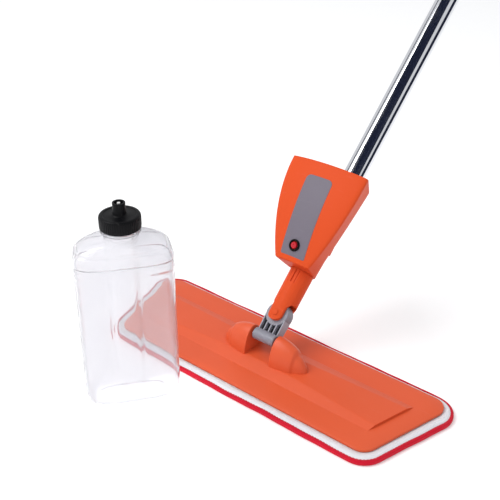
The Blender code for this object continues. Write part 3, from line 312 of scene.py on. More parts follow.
def plastic(name, colour, roughness, grain=1800, depth=0.00003, drift=0.1, scuffs=0.3, shine=0.5):
    look, tree, shader, place = new_look(name)
    shader.inputs["Specular IOR Level"].default_value = shine
    surface = add(tree, "Group", node_tree=GROUPS["moulded"])
    for socket, value in (("Colour", (*colour, 1)), ("Grain Scale", grain), ("Roughness", roughness),
                          ("Drift", drift), ("Scuffs", scuffs)):
        surface.inputs[socket].default_value = value
    tree.links.new(place, surface.inputs["Place"])
    tree.links.new(surface.outputs["Colour"], shader.inputs["Base Color"])
    tree.links.new(surface.outputs["Roughness"], shader.inputs["Roughness"])
    bumped(tree, shader, surface.outputs["Height"], depth)
    return look


def metal(name, colour, low, high, stretch, tarnish):
    look, tree, shader, place = new_look(name)
    shader.inputs["Metallic"].default_value = 1
    marks = add(tree, "Group", node_tree=GROUPS["smudge"])
    for socket, value in (("Low", low), ("High", high), ("Stretch", stretch)):
        marks.inputs[socket].default_value = value
    tree.links.new(place, marks.inputs["Place"])
    tone = mixed(tree, ranged(tree, marks.outputs["Mask"], 0.0, tarnish), (*colour, 1), (0.35, 0.36, 0.40, 1))
    tree.links.new(tone, shader.inputs["Base Color"])
    tree.links.new(marks.outputs["Roughness"], shader.inputs["Roughness"])
    bumped(tree, shader, marks.outputs["Height"], 0.000002)
    return look


def clear_plastic(name, colour, tint, edge):
    look, tree, shader, place = new_look(name)
    shader.inputs["Transmission Weight"].default_value = 0.88
    shader.inputs["IOR"].default_value = 1.46
    marks = add(tree, "Group", node_tree=GROUPS["smudge"])
    for socket, value in (("Low", 0.02), ("High", 0.09), ("Stretch", (1, 1, 1))):
        marks.inputs[socket].default_value = value
    tree.links.new(place, marks.inputs["Place"])
    tone = mixed(tree, marks.outputs["Mask"], (*colour, 1), (*tint, 1))
    # Painted shade: where the surface turns away from the view the base colour darkens towards the edge colour,
    # drawing dark rims along the outlines
    facing = add(tree, "LayerWeight", {"Blend": 0.35}).outputs["Facing"]
    rim = add(tree, "Math", {0: facing, 1: 3.0}, operation="POWER").outputs[0]
    tree.links.new(mixed(tree, rim, tone, (*edge, 1)), shader.inputs["Base Color"])
    tree.links.new(marks.outputs["Roughness"], shader.inputs["Roughness"])
    ripple = add(tree, "TexNoise", {"Vector": place, "Scale": 60, "Detail": 1})
    bumped(tree, shader, ripple.outputs["Fac"], 0.0004, 0.5)
    return look


def cloth(name, colour, gap, threads, fluff, depth, roughness=0.95):
    look, tree, shader, place = new_look(name)
    shader.inputs["Sheen Weight"].default_value = 0.08
    shader.inputs["Sheen Roughness"].default_value = 0.5
    shader.inputs["Roughness"].default_value = roughness
    shader.inputs["Specular IOR Level"].default_value = 0.2
    woven = add(tree, "Group", node_tree=GROUPS["weave"])
    for socket, value in (("Colour", (*colour, 1)), ("Gap Colour", (*gap, 1)), ("Threads", threads),
                          ("Fluff", fluff)):
        woven.inputs[socket].default_value = value
    tree.links.new(place, woven.inputs["Place"])
    tree.links.new(woven.outputs["Colour"], shader.inputs["Base Color"])
    bumped(tree, shader, woven.outputs["Height"], depth)
    return look


def ribbed_rubber(name, colour, pitch):
    """Soft black grip: rings across the pole with a fine matt grain between them."""
    look, tree, shader, place = new_look(name)
    surface = add(tree, "Group", node_tree=GROUPS["moulded"])
    for socket, value in (("Colour", (*colour, 1)), ("Grain Scale", 1500), ("Roughness", 0.55),
                          ("Drift", 0.3), ("Scuffs", 0.2)):
        surface.inputs[socket].default_value = value
    tree.links.new(place, surface.inputs["Place"])
    turned_place = add(tree, "Mapping", {"Vector": place, "Rotation": (POLE_LEAN, 0, 0)})
    rings = add(tree, "TexWave", {"Vector": turned_place.outputs["Vector"],
                                  "Scale": 1 / pitch / math.tau * 2}, bands_direction="Z")
    both = add(tree, "Math", {0: rings.outputs["Fac"], 1: 1.0, 2: surface.outputs["Height"]},
               operation="MULTIPLY_ADD")
    tree.links.new(surface.outputs["Colour"], shader.inputs["Base Color"])
    tree.links.new(surface.outputs["Roughness"], shader.inputs["Roughness"])
    bumped(tree, shader, both.outputs[0], 0.0003, 0.6)
    return look


LOOKS = {
    "orange_plate": plastic("orange_plate", (0.70, 0.098, 0.030), 0.36, depth=0.00002, drift=0.12, shine=0.35),
    "orange_shell": plastic("orange_shell", (0.67, 0.080, 0.021), 0.38, depth=0.00002, drift=0.10, shine=0.05),
    "yoke_grey": plastic("yoke_grey", (0.23, 0.23, 0.27), 0.40, drift=0.15),
    # A lighter copy of the yoke grey, as painted light on the ribs
    "painted_rib_light": plastic("yoke_rib_painted_light", (0.34, 0.34, 0.39), 0.38, drift=0.10),
    # The yoke web's near-black colour is painted shade in the recesses between the ribs
    "painted_web_shade": plastic("yoke_web_painted_shade", (0.022, 0.022, 0.028), 0.50, drift=0.20),
    "panel_grey": plastic("panel_grey", (0.152, 0.133, 0.168), 0.55, grain=2600, depth=0.00005, drift=0.15),
    "black": plastic("black_plastic", (0.003, 0.003, 0.004), 0.34, scuffs=0.3, shine=0.13),
    "red": plastic("red_plastic", (0.52, 0.006, 0.018), 0.30),
    "white": plastic("white_plastic", (0.72, 0.72, 0.71), 0.45),
    "rubber": plastic("black_rubber", (0.016, 0.016, 0.016), 0.68, grain=900, depth=0.00008),
    "grip": ribbed_rubber("grip_rubber", (0.013, 0.013, 0.014), 0.004),
    "chrome": metal("tube_chrome", (0.84, 0.85, 0.88), 0.045, 0.13, (1, 1, 0.4), 0.10),
    "steel": metal("plain_steel", (0.60, 0.60, 0.62), 0.22, 0.42, (1, 1, 3), 0.25),
    # The clear bottle's third colour is the painted shade of its dark rims at grazing angles
    "clear": clear_plastic("clear_bottle", (0.92, 0.916, 0.938), (0.885, 0.88, 0.91), (0.34, 0.335, 0.38)),
    "pile": cloth("white_microfibre", (0.98, 0.98, 1.0), (0.88, 0.88, 0.95), 420, 0.9, 0.0005),
    "band": cloth("crimson_binding", (0.74, 0.005, 0.030), (0.50, 0.002, 0.016), 900, 0.4, 0.00020),
    "thread": cloth("crimson_thread", (0.55, 0.004, 0.024), (0.32, 0.002, 0.012), 2500, 0.2, 0.0001),
    "hook": cloth("black_hook_tape", (0.020, 0.020, 0.024), (0.004, 0.004, 0.005), 620, 0.8, 0.0009, 0.6),
}


# ---------------------------------------------------------------- mesh helpers

def piece(bm, name, look, body, place=HEAD, stands_for=(), sharp=35):
    """Turns a bmesh into a piece in the row frame that rides on a body and wears the given look."""
    bmesh.ops.remove_doubles(bm, verts=bm.verts, dist=1e-6)
    bmesh.ops.recalc_face_normals(bm, faces=bm.faces)
    bmesh.ops.transform(bm, matrix=place, verts=bm.verts)
    mesh = bpy.data.meshes.new(name)
    bm.to_mesh(mesh)
    bm.free()
    mesh.shade_smooth()
    mesh.set_sharp_from_angle(angle=math.radians(sharp))
    mesh.materials.append(LOOKS[look])
    made = bpy.data.objects.new(name, mesh)
    bpy.context.scene.collection.objects.link(made)
    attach(made, body)
    if stands_for:
        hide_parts(*stands_for)
    return made


def edge_bevel(made, width, segments=2, angle=35):
    modifier = made.modifiers.new("edge round", "BEVEL")
    modifier.width = width
    modifier.segments = segments
    modifier.limit_method = "ANGLE"
    modifier.angle_limit = math.radians(angle)
    modifier.harden_normals = False
    return made


def walled(made, thickness):
    modifier = made.modifiers.new("wall", "SOLIDIFY")
    modifier.thickness = thickness
    modifier.offset = -1
    return made


def skin(rows, columns, point):
    """A surface closed round: point(row, angle) places the corners; rows that shrink to a point close it."""
    bm = bmesh.new()
    bmesh.ops.create_grid(bm, x_segments=columns, y_segments=len(rows) - 1, size=1)
    for vertex in bm.verts:
        row = rows[round((vertex.co.y + 1) / 2 * (len(rows) - 1))]
        vertex.co = point(row, (vertex.co.x + 1) * math.pi)
    return bm


def turned(profile, segments=64):
    """A solid of revolution about Z from (radius, height) corners that run round its section."""
    bm = bmesh.new()
    points = [bm.verts.new((radius, 0, height)) for radius, height in profile]
    ring = zip(points, points[1:] + points[:1])
    edges = [bm.edges.new(pair) for pair in ring if pair[0].co.x or pair[1].co.x]
    bmesh.ops.spin(bm, geom=[*points, *edges], cent=(0, 0, 0), axis=(0, 0, 1), angle=math.tau,
                   steps=segments, use_merge=True)
    return bm


def add_block(bm, low, high, turn=None):
    """Adds a box between two corners, turned by a matrix about the origin."""
    size = [b - a for a, b in zip(low, high)]
    middle = [(a + b) / 2 for a, b in zip(low, high)]
    matrix = (turn or Matrix.Identity(4)) @ Matrix.LocRotScale(middle, None, size)
    return bmesh.ops.create_cube(bm, size=1, matrix=matrix)["verts"]


def soft_step(low, high, value):
    share = min(1, max(0, (value - low) / (high - low)))
    return share * share * (3 - 2 * share)


def evenly(low, high, count):
    return [low + (high - low) * step / count for step in range(count + 1)]


def refined(node, look, body, bevel=0.0):
    """A cleaned and smoothly shaded copy of a CAD node, with its edges rounded, that stands for it."""
    bm = bmesh.new()
    bm.from_mesh(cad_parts[node].data)
    bmesh.ops.remove_doubles(bm, verts=bm.verts, dist=2e-6)
    bmesh.ops.dissolve_limit(bm, angle_limit=math.radians(0.8), verts=bm.verts, edges=bm.edges)
    made = piece(bm, f"{node}_finish", look, body, stands_for=[node], sharp=30)
    if bevel:
        edge_bevel(made, bevel)
    return made


# ---------------------------------------------------------------- head outline

def rounded_trapezoid(margin):
    """Points round the head's outline, grown outwards by a margin, anticlockwise from the right end."""
    half = PLATE_WIDTH / 2 + margin
    reach = PLATE_LENGTH / 2 + margin * math.hypot(1, PLATE_FLARE)
    flare = PLATE_FLARE * half
    corners = [Vector(c) for c in ((reach + flare, half), (-reach - flare, half), (-reach + flare, -half),
                                   (reach - flare, -half))]
    points = []
    for index, corner in enumerate(corners):
        before = (corners[index - 1] - corner).normalized()
        after = (corners[(index + 1) % 4] - corner).normalized()
        half_angle = before.angle(after) / 2
        radius = PLATE_CORNER + margin
        centre = corner + (before + after).normalized() * radius / math.sin(half_angle)
        start = corner + before * radius / math.tan(half_angle) - centre
        turn = start.angle_signed(corner + after * radius / math.tan(half_angle) - centre)
        points += [centre + Matrix.Rotation(-turn * share, 2) @ start for share in evenly(0, 1, 16)]
    return points


def outline_point(points, lengths, share):
    """The point this share of the way round the outline."""
    goal = share * lengths[-1]
    index = next((i for i, length in enumerate(lengths) if length >= goal), len(lengths) - 1)
    before = lengths[index - 1] if index else 0
    step = (goal - before) / max(1e-9, lengths[index] - before)
    return points[index].lerp(points[(index + 1) % len(points)], step)


class Outline:
    """The head's outline at one margin, read by angle from 0 to a full turn."""

    def __init__(self, margin):
        self.points = rounded_trapezoid(margin)
        self.lengths = []
        total = 0
        for index, point in enumerate(self.points):
            total += (self.points[(index + 1) % len(self.points)] - point).length
            self.lengths.append(total)

    def at(self, angle):
        return outline_point(self.points, self.lengths, (angle / math.tau) % 1)


OUTLINES = {}


def outline_at(margin, angle):
    key = round(margin, 5)
    if key not in OUTLINES:
        OUTLINES[key] = Outline(key)
    return OUTLINES[key].at(angle)


def slab_point(row, angle):
    """row is (margin or None, share of the way out from the middle, height)."""
    margin, share, height = row
    edge = outline_at(margin, angle) * share
    return Vector((edge.x, edge.y, height))


def drawn_in(spot):
    """The pad's rear edge moved in towards the plate; its front edge stays."""
    spot.y -= PAD_DRAWN_IN * soft_step(-0.02, 0.05, spot.y)
    return spot


# ---------------------------------------------------------------- head

def make_plate():
    rows = [(0, share, PLATE_BOTTOM) for share in (0, 0.5, 0.9)]
    rows += [(-EDGE_ROUND, 1, PLATE_BOTTOM), (-EDGE_ROUND / 3, 1, PLATE_BOTTOM + EDGE_ROUND / 3),
             (0, 1, PLATE_BOTTOM + EDGE_ROUND), (0, 1, HEAD_Z - EDGE_ROUND),
             (-EDGE_ROUND / 3, 1, HEAD_Z - EDGE_ROUND / 3), (-EDGE_ROUND, 1, HEAD_Z)]
    rows += [(0, share, HEAD_Z) for share in (0.9, 0.5, 0)]
    piece(skin(rows, 240, slab_point), "plate", "orange_plate", "head",
          stands_for=["mop_plate"])
    make_plateau()
    for side in (-1, 1):
        make_hump(side)


def make_plateau():
    """The raised bar: crowned towards the joint, with a sloping shoulder along each side and steep ends."""
    bm = bmesh.new()
    bmesh.ops.create_grid(bm, x_segments=120, y_segments=48, size=1)
    for vertex in bm.verts:
        along, across = vertex.co.x, vertex.co.y
        y = across * PLATEAU_HALF_WIDTH
        x = along * (PLATE_LENGTH / 2 - PLATEAU_END + PLATE_FLARE * y)
        rise = PLATEAU_END_RISE + (PLATEAU_RISE - PLATEAU_END_RISE) * math.cos(along * math.pi / 2)
        shoulder = min(1, (1 - abs(across)) * (1.9 + 1.6 * along**2))
        vertex.co = (x, y, HEAD_Z + rise * (shoulder + 0.12 * (1 - across**2)))
    down = bmesh.ops.extrude_face_region(bm, geom=list(bm.faces), use_keep_orig=True)["geom"]
    for vertex in (g for g in down if isinstance(g, bmesh.types.BMVert)):
        vertex.co.z = HEAD_Z - EDGE_ROUND
    piece(bm, "plate_bar", "orange_plate", "head", sharp=30)


def make_hump(side):
    """One dome over the head pin: flat towards the yoke, stepping down to a rim band at its outer end."""
    def point(row, angle):
        along, share = row
        drop = 1 - HUMP_STEP_DROP * soft_step(*HUMP_STEP, along)
        ring = math.sqrt(max(0, 1 - along**2)) * share * drop
        y = HUMP_HALF_WIDTH * ring * math.cos(angle)
        z = HUMP_RISE * ring * math.sin(angle)
        return Vector((side * (HUMP_GAP / 2 + HUMP_LENGTH * along), y, HEAD_Z + max(z, -0.002)))
    rows = [(0, 0), (0, 0.6), (0, 0.95), (0.004, 0.985), (0.018, 1)]
    rows += [(math.sin(turn), 1) for turn in evenly(0.04, math.pi / 2, 54)]
    piece(skin(rows, 72, point), f"plate_dome_{'right' if side > 0 else 'left'}", "orange_plate", "head",
          sharp=28)


def ripple(angle, seed):
    """A slow wander round the outline, in -1 to 1, that closes on itself."""
    return (0.5 * math.sin(7 * angle + seed) + 0.3 * math.sin(13 * angle + 2.1 * seed)
            + 0.2 * math.sin(29 * angle + seed))


def make_pad():
    """White microfibre pad: a soft slab, puffed up where it stands out past the plate."""
    inner = PAD_MARGIN - BINDING_WIDTH

    def point(row, angle):
        base = drawn_in(slab_point(row[:3], angle))
        puff = row[3] * (1 + 0.25 * ripple(angle, 1.0))
        return base + Vector((0, 0, puff))
    rows = [(0, share, PAD_FLOOR, 0) for share in (0, 0.35, 0.7)]
    rows += [(inner + 0.0015, 1, PAD_FLOOR, 0), (inner + 0.0022, 1, PAD_FLOOR + 0.0012, 0)]
    rows += [(inner + 0.0012, 1, PAD_TOP - 0.0010, 0.1 * PAD_PUFF),
             (inner, 1, PAD_TOP - 0.0003, 0.45 * PAD_PUFF)]
    rows += [(inner - 0.0016, 1, PAD_TOP, 0.95 * PAD_PUFF), (inner - 0.0032, 1, PAD_TOP, PAD_PUFF),
             (inner - 0.0048, 1, PAD_TOP, 0.8 * PAD_PUFF), (0.0004, 1, PAD_TOP, 0.45 * PAD_PUFF),
             (-0.0010, 1, PAD_TOP, 0.0)]
    rows += [(0, share, PAD_TOP, 0) for share in (0.9, 0.5, 0)]
    pad = piece(skin(rows, 360, point), "pad_cloth", "pile", "head",
                stands_for=["pad_backing"], sharp=60)
    make_tufts(inner)


def make_tufts(inner):
    """Rows of short chenille tufts that hang under the pad and carry it on the floor."""
    maker = random.Random(5)
    bm = bmesh.new()
    shape = bmesh.new()
    bmesh.ops.create_icosphere(shape, subdivisions=1, radius=1)
    tuft = bpy.data.meshes.new("tuft")
    shape.to_mesh(tuft)
    shape.free()
    half_width = PLATE_WIDTH / 2 + inner - TUFT_INSET
    for row, y in enumerate(evenly(-half_width, half_width, round(2 * half_width / TUFT_PITCH))):
        half_length = PLATE_LENGTH / 2 + inner + PLATE_FLARE * y - TUFT_INSET
        for x in evenly(-half_length, half_length, round(2 * half_length / TUFT_PITCH)):
            corner = PLATE_CORNER * 0.6
            if abs(x) > half_length - corner and abs(y) > half_width - corner:
                continue
            spread = drawn_in(Vector((x + (row % 2 - 0.5) * 0.0012 + maker.uniform(-0.0006, 0.0006),
                                      y + maker.uniform(-0.0006, 0.0006), PAD_FLOOR + 0.0002)))
            size = (TUFT_RADIUS * maker.uniform(1.0, 1.35), TUFT_RADIUS * maker.uniform(0.9, 1.2), PAD_FLOOR)
            turn = Matrix.Rotation(maker.uniform(0, math.tau), 3, "Z").to_quaternion()
            before = len(bm.verts)
            bm.from_mesh(tuft)
            bm.verts.ensure_lookup_table()
            bmesh.ops.transform(bm, matrix=Matrix.LocRotScale(spread, turn, size), verts=bm.verts[before:])
    bpy.data.meshes.remove(tuft)
    piece(bm, "pad_tufts", "pile", "head", stands_for=["pad_pile"], sharp=80)


def make_binding():
    """Crimson tape folded over the pad's edge, slightly wavy, with a line of stitches along its inner side."""
    middle = PAD_MARGIN - BINDING_WIDTH / 2
    base = GAP
    rows = [math.tau * step / 24 for step in range(25)]

    def point(turn, angle):
        across, up = math.cos(turn), math.sin(turn)
        out = math.copysign(abs(across) ** 0.75, across) * BINDING_WIDTH / 2
        rise = math.copysign(abs(up) ** 0.75, up) * (BINDING_TOP - base) / 2
        wander = 0.0006 * ripple(angle, 2.0)
        edge = outline_at(middle, angle)
        outward = (outline_at(middle + 0.002, angle) - edge).normalized()
        lift = 0.0006 * ripple(angle, 4.0) * (0.5 + 0.5 * up)
        spot = edge + outward * (out + wander)
        return drawn_in(Vector((spot.x, spot.y, (BINDING_TOP + base) / 2 + rise + lift)))
    band = piece(skin(rows, 420, point), "pad_band", "band", "head",
                 stands_for=["pad_binding"], sharp=80)
    make_stitches(middle, point)


def make_stitches(middle, point):
    """Short lengths of thread sunk into the tape along its top."""
    bm = bmesh.new()
    turn = math.radians(128)
    count = round(Outline(middle).lengths[-1] / STITCH_PITCH)
    for index in range(count):
        angle = math.tau * index / count
        span = math.tau * STITCH_LENGTH / STITCH_PITCH / count
        here, ahead = point(turn, angle), point(turn, angle + span)
        along = (ahead - here).normalized()
        matrix = Matrix.LocRotScale((here + ahead) / 2, along.to_track_quat("Z", "Y"), None)
        bmesh.ops.create_cone(bm, cap_ends=True, segments=6, radius1=STITCH_RADIUS, radius2=STITCH_RADIUS,
                              depth=STITCH_LENGTH, matrix=matrix)
    piece(bm, "pad_stitches", "thread", "head", sharp=50)


# ---------------------------------------------------------------- yoke and neck

def make_yoke():
    """Ribbed link between the two pins: barrel below, round eye above, five ribs over a thin web; the ribs are a
    lighter grey as painted light and the web is near-black as painted shade.
    """
    half = BARREL_LENGTH / 2
    barrel = turned([(0.0028, -half), (BARREL_RADIUS - 0.0006, -half), (BARREL_RADIUS, -half + 0.0006),
                     (BARREL_RADIUS, half - 0.0006), (BARREL_RADIUS - 0.0006, half), (0.0028, half)], 64)
    lay = Matrix.Translation((0, -PIN_OFFSET, 0)) @ Matrix.Rotation(math.pi / 2, 4, "Y")
    bmesh.ops.transform(barrel, matrix=lay, verts=barrel.verts)
    piece(barrel, "yoke_barrel", "yoke_grey", "yoke", POLE, stands_for=["swivel_yoke"])
    depth = EYE_THICK / 2
    eye = turned([(0.0028, -depth), (EYE_RADIUS - 0.0006, -depth), (EYE_RADIUS, -depth + 0.0006),
                  (EYE_RADIUS, depth - 0.0006), (EYE_RADIUS - 0.0006, depth), (0.0028, depth)], 72)
    stand = Matrix.Translation((0, 0, PIN_SPACING)) @ Matrix.Rotation(math.pi / 2, 4, "X")
    bmesh.ops.transform(eye, matrix=stand, verts=eye.verts)
    piece(eye, "yoke_eye", "yoke_grey", "yoke", POLE)
    ribs = bmesh.new()
    low, high = 0.0, PIN_SPACING - 0.0040
    web = bmesh.new()
    for vertex in add_block(web, (-half + 0.002, -WEB_THICK / 2, low), (half - 0.002, WEB_THICK / 2, high)):
        if vertex.co.z > (low + high) / 2:
            vertex.co.x *= EYE_RADIUS / half
    # The web is coloured near-black as painted shade between the ribs
    piece(web, "yoke_web", "painted_web_shade", "yoke", POLE)
    for index in range(RIB_COUNT):
        share = index / (RIB_COUNT - 1) * 2 - 1
        foot, head = share * (half - 0.0016), share * (EYE_RADIUS - 0.0011)
        corners = add_block(ribs, (-RIB_THICK / 2, -depth, low), (RIB_THICK / 2, depth, high))
        for vertex in corners:
            upper = vertex.co.z > (low + high) / 2
            vertex.co.x += head if upper else foot
            if not upper:
                vertex.co.y *= 0.86
    # The ribs take a lighter grey than the rest of the yoke, as painted light
    piece(ribs, "yoke_ribs", "painted_rib_light", "yoke", POLE)
    edge_bevel(bpy.data.objects["yoke_ribs"], 0.0003)


def make_pin_covers():
    """Shallow buttons moulded over both ends of the fork pin."""
    for side, name in ((-1, "front"), (1, "back")):
        button = turned([(0, -0.0004), (0.0038, -0.0004), (0.0038, 0.0000), (0.0036, 0.0001), (0, 0.00015)], 40)
        turn = Matrix.Rotation(-side * math.pi / 2, 4, "X")
        seat = Matrix.Translation((0, side * FORK_HALF_THICK, PIN_SPACING))
        piece(button, f"neck_button_{name}", "orange_shell", "pole", POLE @ seat @ turn)


# ---------------------------------------------------------------- housing

def housing_point(row, angle):
    """row is (share of the way out, height) on the housing's outer face; share 0 is the neck's hole."""
    outward, height = row
    if outward == 0:
        return Vector((NECK_HOLE * math.cos(angle), NECK_HOLE * math.sin(angle), height))
    share = 1 - min(1, max(0, (height - HOUSING_BOTTOM) / (HOUSING_TOP - HOUSING_BOTTOM)))
    half_width = HOUSING_HALF_WIDTH - (HOUSING_HALF_WIDTH - HOUSING_FOOT_HALF_WIDTH) * share**2
    front = HOUSING_FRONT - (HOUSING_FRONT - HOUSING_FOOT_FRONT) * share**1.8
    spread = (HOUSING_BACK_HALF_WIDTH - HOUSING_FOOT_BACK_HALF_WIDTH) * max(0, 1 - share * 1.25)
    back_half_width = HOUSING_FOOT_BACK_HALF_WIDTH + spread
    turn = angle + 0.16 * math.sin(4 * angle)
    across, forward = math.cos(turn), -math.sin(turn)
    sharpness = 22 if forward > 0 else 2.6
    reach = (abs(across) ** sharpness + abs(forward) ** sharpness) ** (-1 / sharpness)
    depth = (forward * reach + 1) / 2
    x = across * reach * (back_half_width + (half_width - back_half_width) * depth)
    crown = HOUSING_CROWN * (half_width / HOUSING_HALF_WIDTH) * (1 - (x / half_width) ** 2) * depth**4
    y = -(HOUSING_BACK * (depth - 1) + front * depth + crown)
    middle = Vector((0, -0.011, height))
    return middle.lerp(Vector((x, y, height)), outward)


def make_housing():
    """Front cover and rear body: one lofted shell cut along its side seam, each with its own wall."""
    lip = 0.0007
    rows = [(0, HOUSING_BOTTOM), (0.8, HOUSING_BOTTOM), (0.965, HOUSING_BOTTOM),
            (0.99, HOUSING_BOTTOM + lip * 0.35), (1, HOUSING_BOTTOM + lip)]
    rows += [(1, height) for height in evenly(HOUSING_BOTTOM + 2 * lip, HOUSING_TOP, 36)]
    for name, node, side in (("front", "front_cover", 1), ("rear", "rear_body", -1)):
        bm = skin(rows, 176, housing_point)
        bmesh.ops.remove_doubles(bm, verts=bm.verts, dist=1e-6)
        bmesh.ops.bisect_plane(bm, geom=[*bm.verts, *bm.edges, *bm.faces], clear_outer=True,
                               plane_co=(0, -SPLIT_FRONT - side * GAP / 2, 0), plane_no=(0, side, 0))
        shell = piece(bm, f"housing_{name}", "orange_shell", "pole", POLE,
                      stands_for=[node], sharp=30)
        walled(shell, HOUSING_WALL)
        edge_bevel(shell, 0.0004)
    spine = bmesh.new()
    add_block(spine, (-SPINE_HALF_WIDTH, -SPINE_FRONT, SPINE_BOTTOM),
              (SPINE_HALF_WIDTH, HOUSING_BACK - SPINE_BACK_INSET, SPINE_TOP))
    post = piece(spine, "housing_spine", "orange_shell", "pole", POLE)
    edge_bevel(post, 0.0006)
    plug = TUBE_RADIUS - TUBE_WALL - GAP
    spigot = turned([(PLUG_BORE, PLUG_ROOT), (plug, PLUG_ROOT), (plug, PLUG_TOP), (PLUG_BORE, PLUG_TOP)])
    piece(spigot, "housing_spigot", "orange_shell", "pole", POLE)


def nozzle_place():
    """The nozzle's own frame: Z points out of the front wall."""
    wall = housing_point((1, NOZZLE_HEIGHT), 1.5 * math.pi)
    front = max(-wall.y, -housing_point((1, NOZZLE_HEIGHT), 0.5 * math.pi).y)
    spot = Matrix.Translation((0, -front, NOZZLE_HEIGHT))
    return POLE @ spot @ Matrix.Rotation(math.pi / 2 + NOZZLE_TILT, 4, "X")


def make_nozzle():
    place = nozzle_place()
    ring = turned([(0.0043, -0.0015), (0.0060, -0.0015), (0.0066, 0.0008), (0.0066, 0.0012), (0.0062, 0.0018),
                   (0.0055, 0.0022), (0.0050, 0.0021), (0.0043, 0.0012)], 56)
    piece(ring, "nozzle_collar", "black", "pole", place, stands_for=["nozzle_ring"])
    tip = turned([(0, -0.0075), (0.0036, -0.0075), (0.0036, 0.0020), (0.0033, 0.0026), (0.0028, 0.0030),
                  (0.0012, 0.0030), (0.0008, 0.0024), (0, 0.0022)], 48)
    piece(tip, "nozzle_jet", "red", "pole", place, stands_for=["nozzle_tip"])


# ---------------------------------------------------------------- tubes

def make_tubes():
    inner = TUBE_RADIUS - TUBE_WALL
    soft = 0.0003
    for name, node, low, high in (("lower", "lower_tube", SPINE_TOP + GAP, TUBE_JOINT - GAP / 2),
                                  ("upper", "upper_tube", TUBE_JOINT + GAP / 2, TUBE_TOP)):
        profile = [(inner, low), (TUBE_RADIUS - soft, low), (TUBE_RADIUS, low + soft),
                   (TUBE_RADIUS, high - soft), (TUBE_RADIUS - soft, high), (inner, high)]
        piece(turned(profile, 96), f"tube_{name}", "chrome", "pole", POLE, stands_for=[node])


# ---------------------------------------------------------------- bottle and cap

def bottle_point(row, angle):
    """row is (share of the way out, height) on the bottle's outer face, with its ribs and back groove."""
    outward, height = row
    foot = min(1, max(0, height / BOTTLE_FOOT))
    drawn_in = BOTTLE_FOOT_INSET * (1 - math.sqrt(1 - (1 - foot) ** 2))
    half_width = BOTTLE_WIDTH / 2 - drawn_in
    half_depth = BOTTLE_DEPTH / 2 - drawn_in
    exponent, fall = 0.5, 0
    if height > BOTTLE_SHOULDER:
        share = min(1, (height - BOTTLE_SHOULDER) / (BOTTLE_TOP - BOTTLE_SHOULDER))
        fall = 1 - math.sqrt(1 - share**2)
        half_width += (BOTTLE_NECK_RADIUS - half_width) * fall
        half_depth += (BOTTLE_NECK_RADIUS - half_depth) * fall
        exponent += (1 - exponent) * fall
    across, forward = math.cos(angle), math.sin(angle)
    x = math.copysign(abs(across) ** exponent, across) * half_width
    y = math.copysign(abs(forward) ** exponent, forward) * half_depth
    ring = sum(1 - soft_step(0, RIB_HALF_HEIGHT, abs(height - rib)) for rib in RIB_HEIGHTS)
    waves = 0.00040 * math.sin(height * math.tau / 0.0105) * soft_step(0.095, 0.15, height) * (1 - fall)
    pull = 1 - (RIB_DEPTH * ring + waves + 0.00022) / half_depth if 0.09 < height < BOTTLE_TOP else 1
    x, y = x * (1 - (1 - pull) * 0.5), y * pull
    if y > 0 and height < BOTTLE_TOP:
        channel = 1 - soft_step(GROOVE_INNER, GROOVE_OUTER, abs(x))
        y = min(y, y + (BOTTLE_DEPTH / 2 - GROOVE_DEPTH - y) * channel)
    return Vector((x * outward, y * outward, height))


def make_bottle():
    rows = [(0, 0.0024), (0.4, 0.0022), (0.7, 0.0014), (0.86, 0.0004), (0.94, 0.0)]
    rows += [(1, BOTTLE_FOOT * (1 - math.cos(turn))) for turn in evenly(0.10, math.pi / 2, 9)]
    rows += [(1, height) for height in evenly(BOTTLE_FOOT + 0.006, 0.148, 22)]
    rows += [(1, height) for height in evenly(0.1495, BOTTLE_TOP - 0.0002, 46)]
    rows += [(1, height) for height in evenly(BOTTLE_TOP + 0.001, BOTTLE_NECK_TOP, 4)]
    shell = piece(skin(rows, 200, bottle_point), "bottle_wall", "clear", "spray_bottle",
                  BOTTLE, stands_for=["bottle"], sharp=50)
    walled(shell, BOTTLE_WALL)
    shell.visible_shadow = False
    ring = turned([(BOTTLE_NECK_RADIUS - 0.0002, 0.1921), (0.0192, 0.1921), (0.0196, 0.1925), (0.0196, 0.1944),
                   (0.0192, 0.1948), (BOTTLE_NECK_RADIUS - 0.0002, 0.1948)], 72)
    piece(ring, "bottle_neck_ring", "clear", "spray_bottle", BOTTLE)


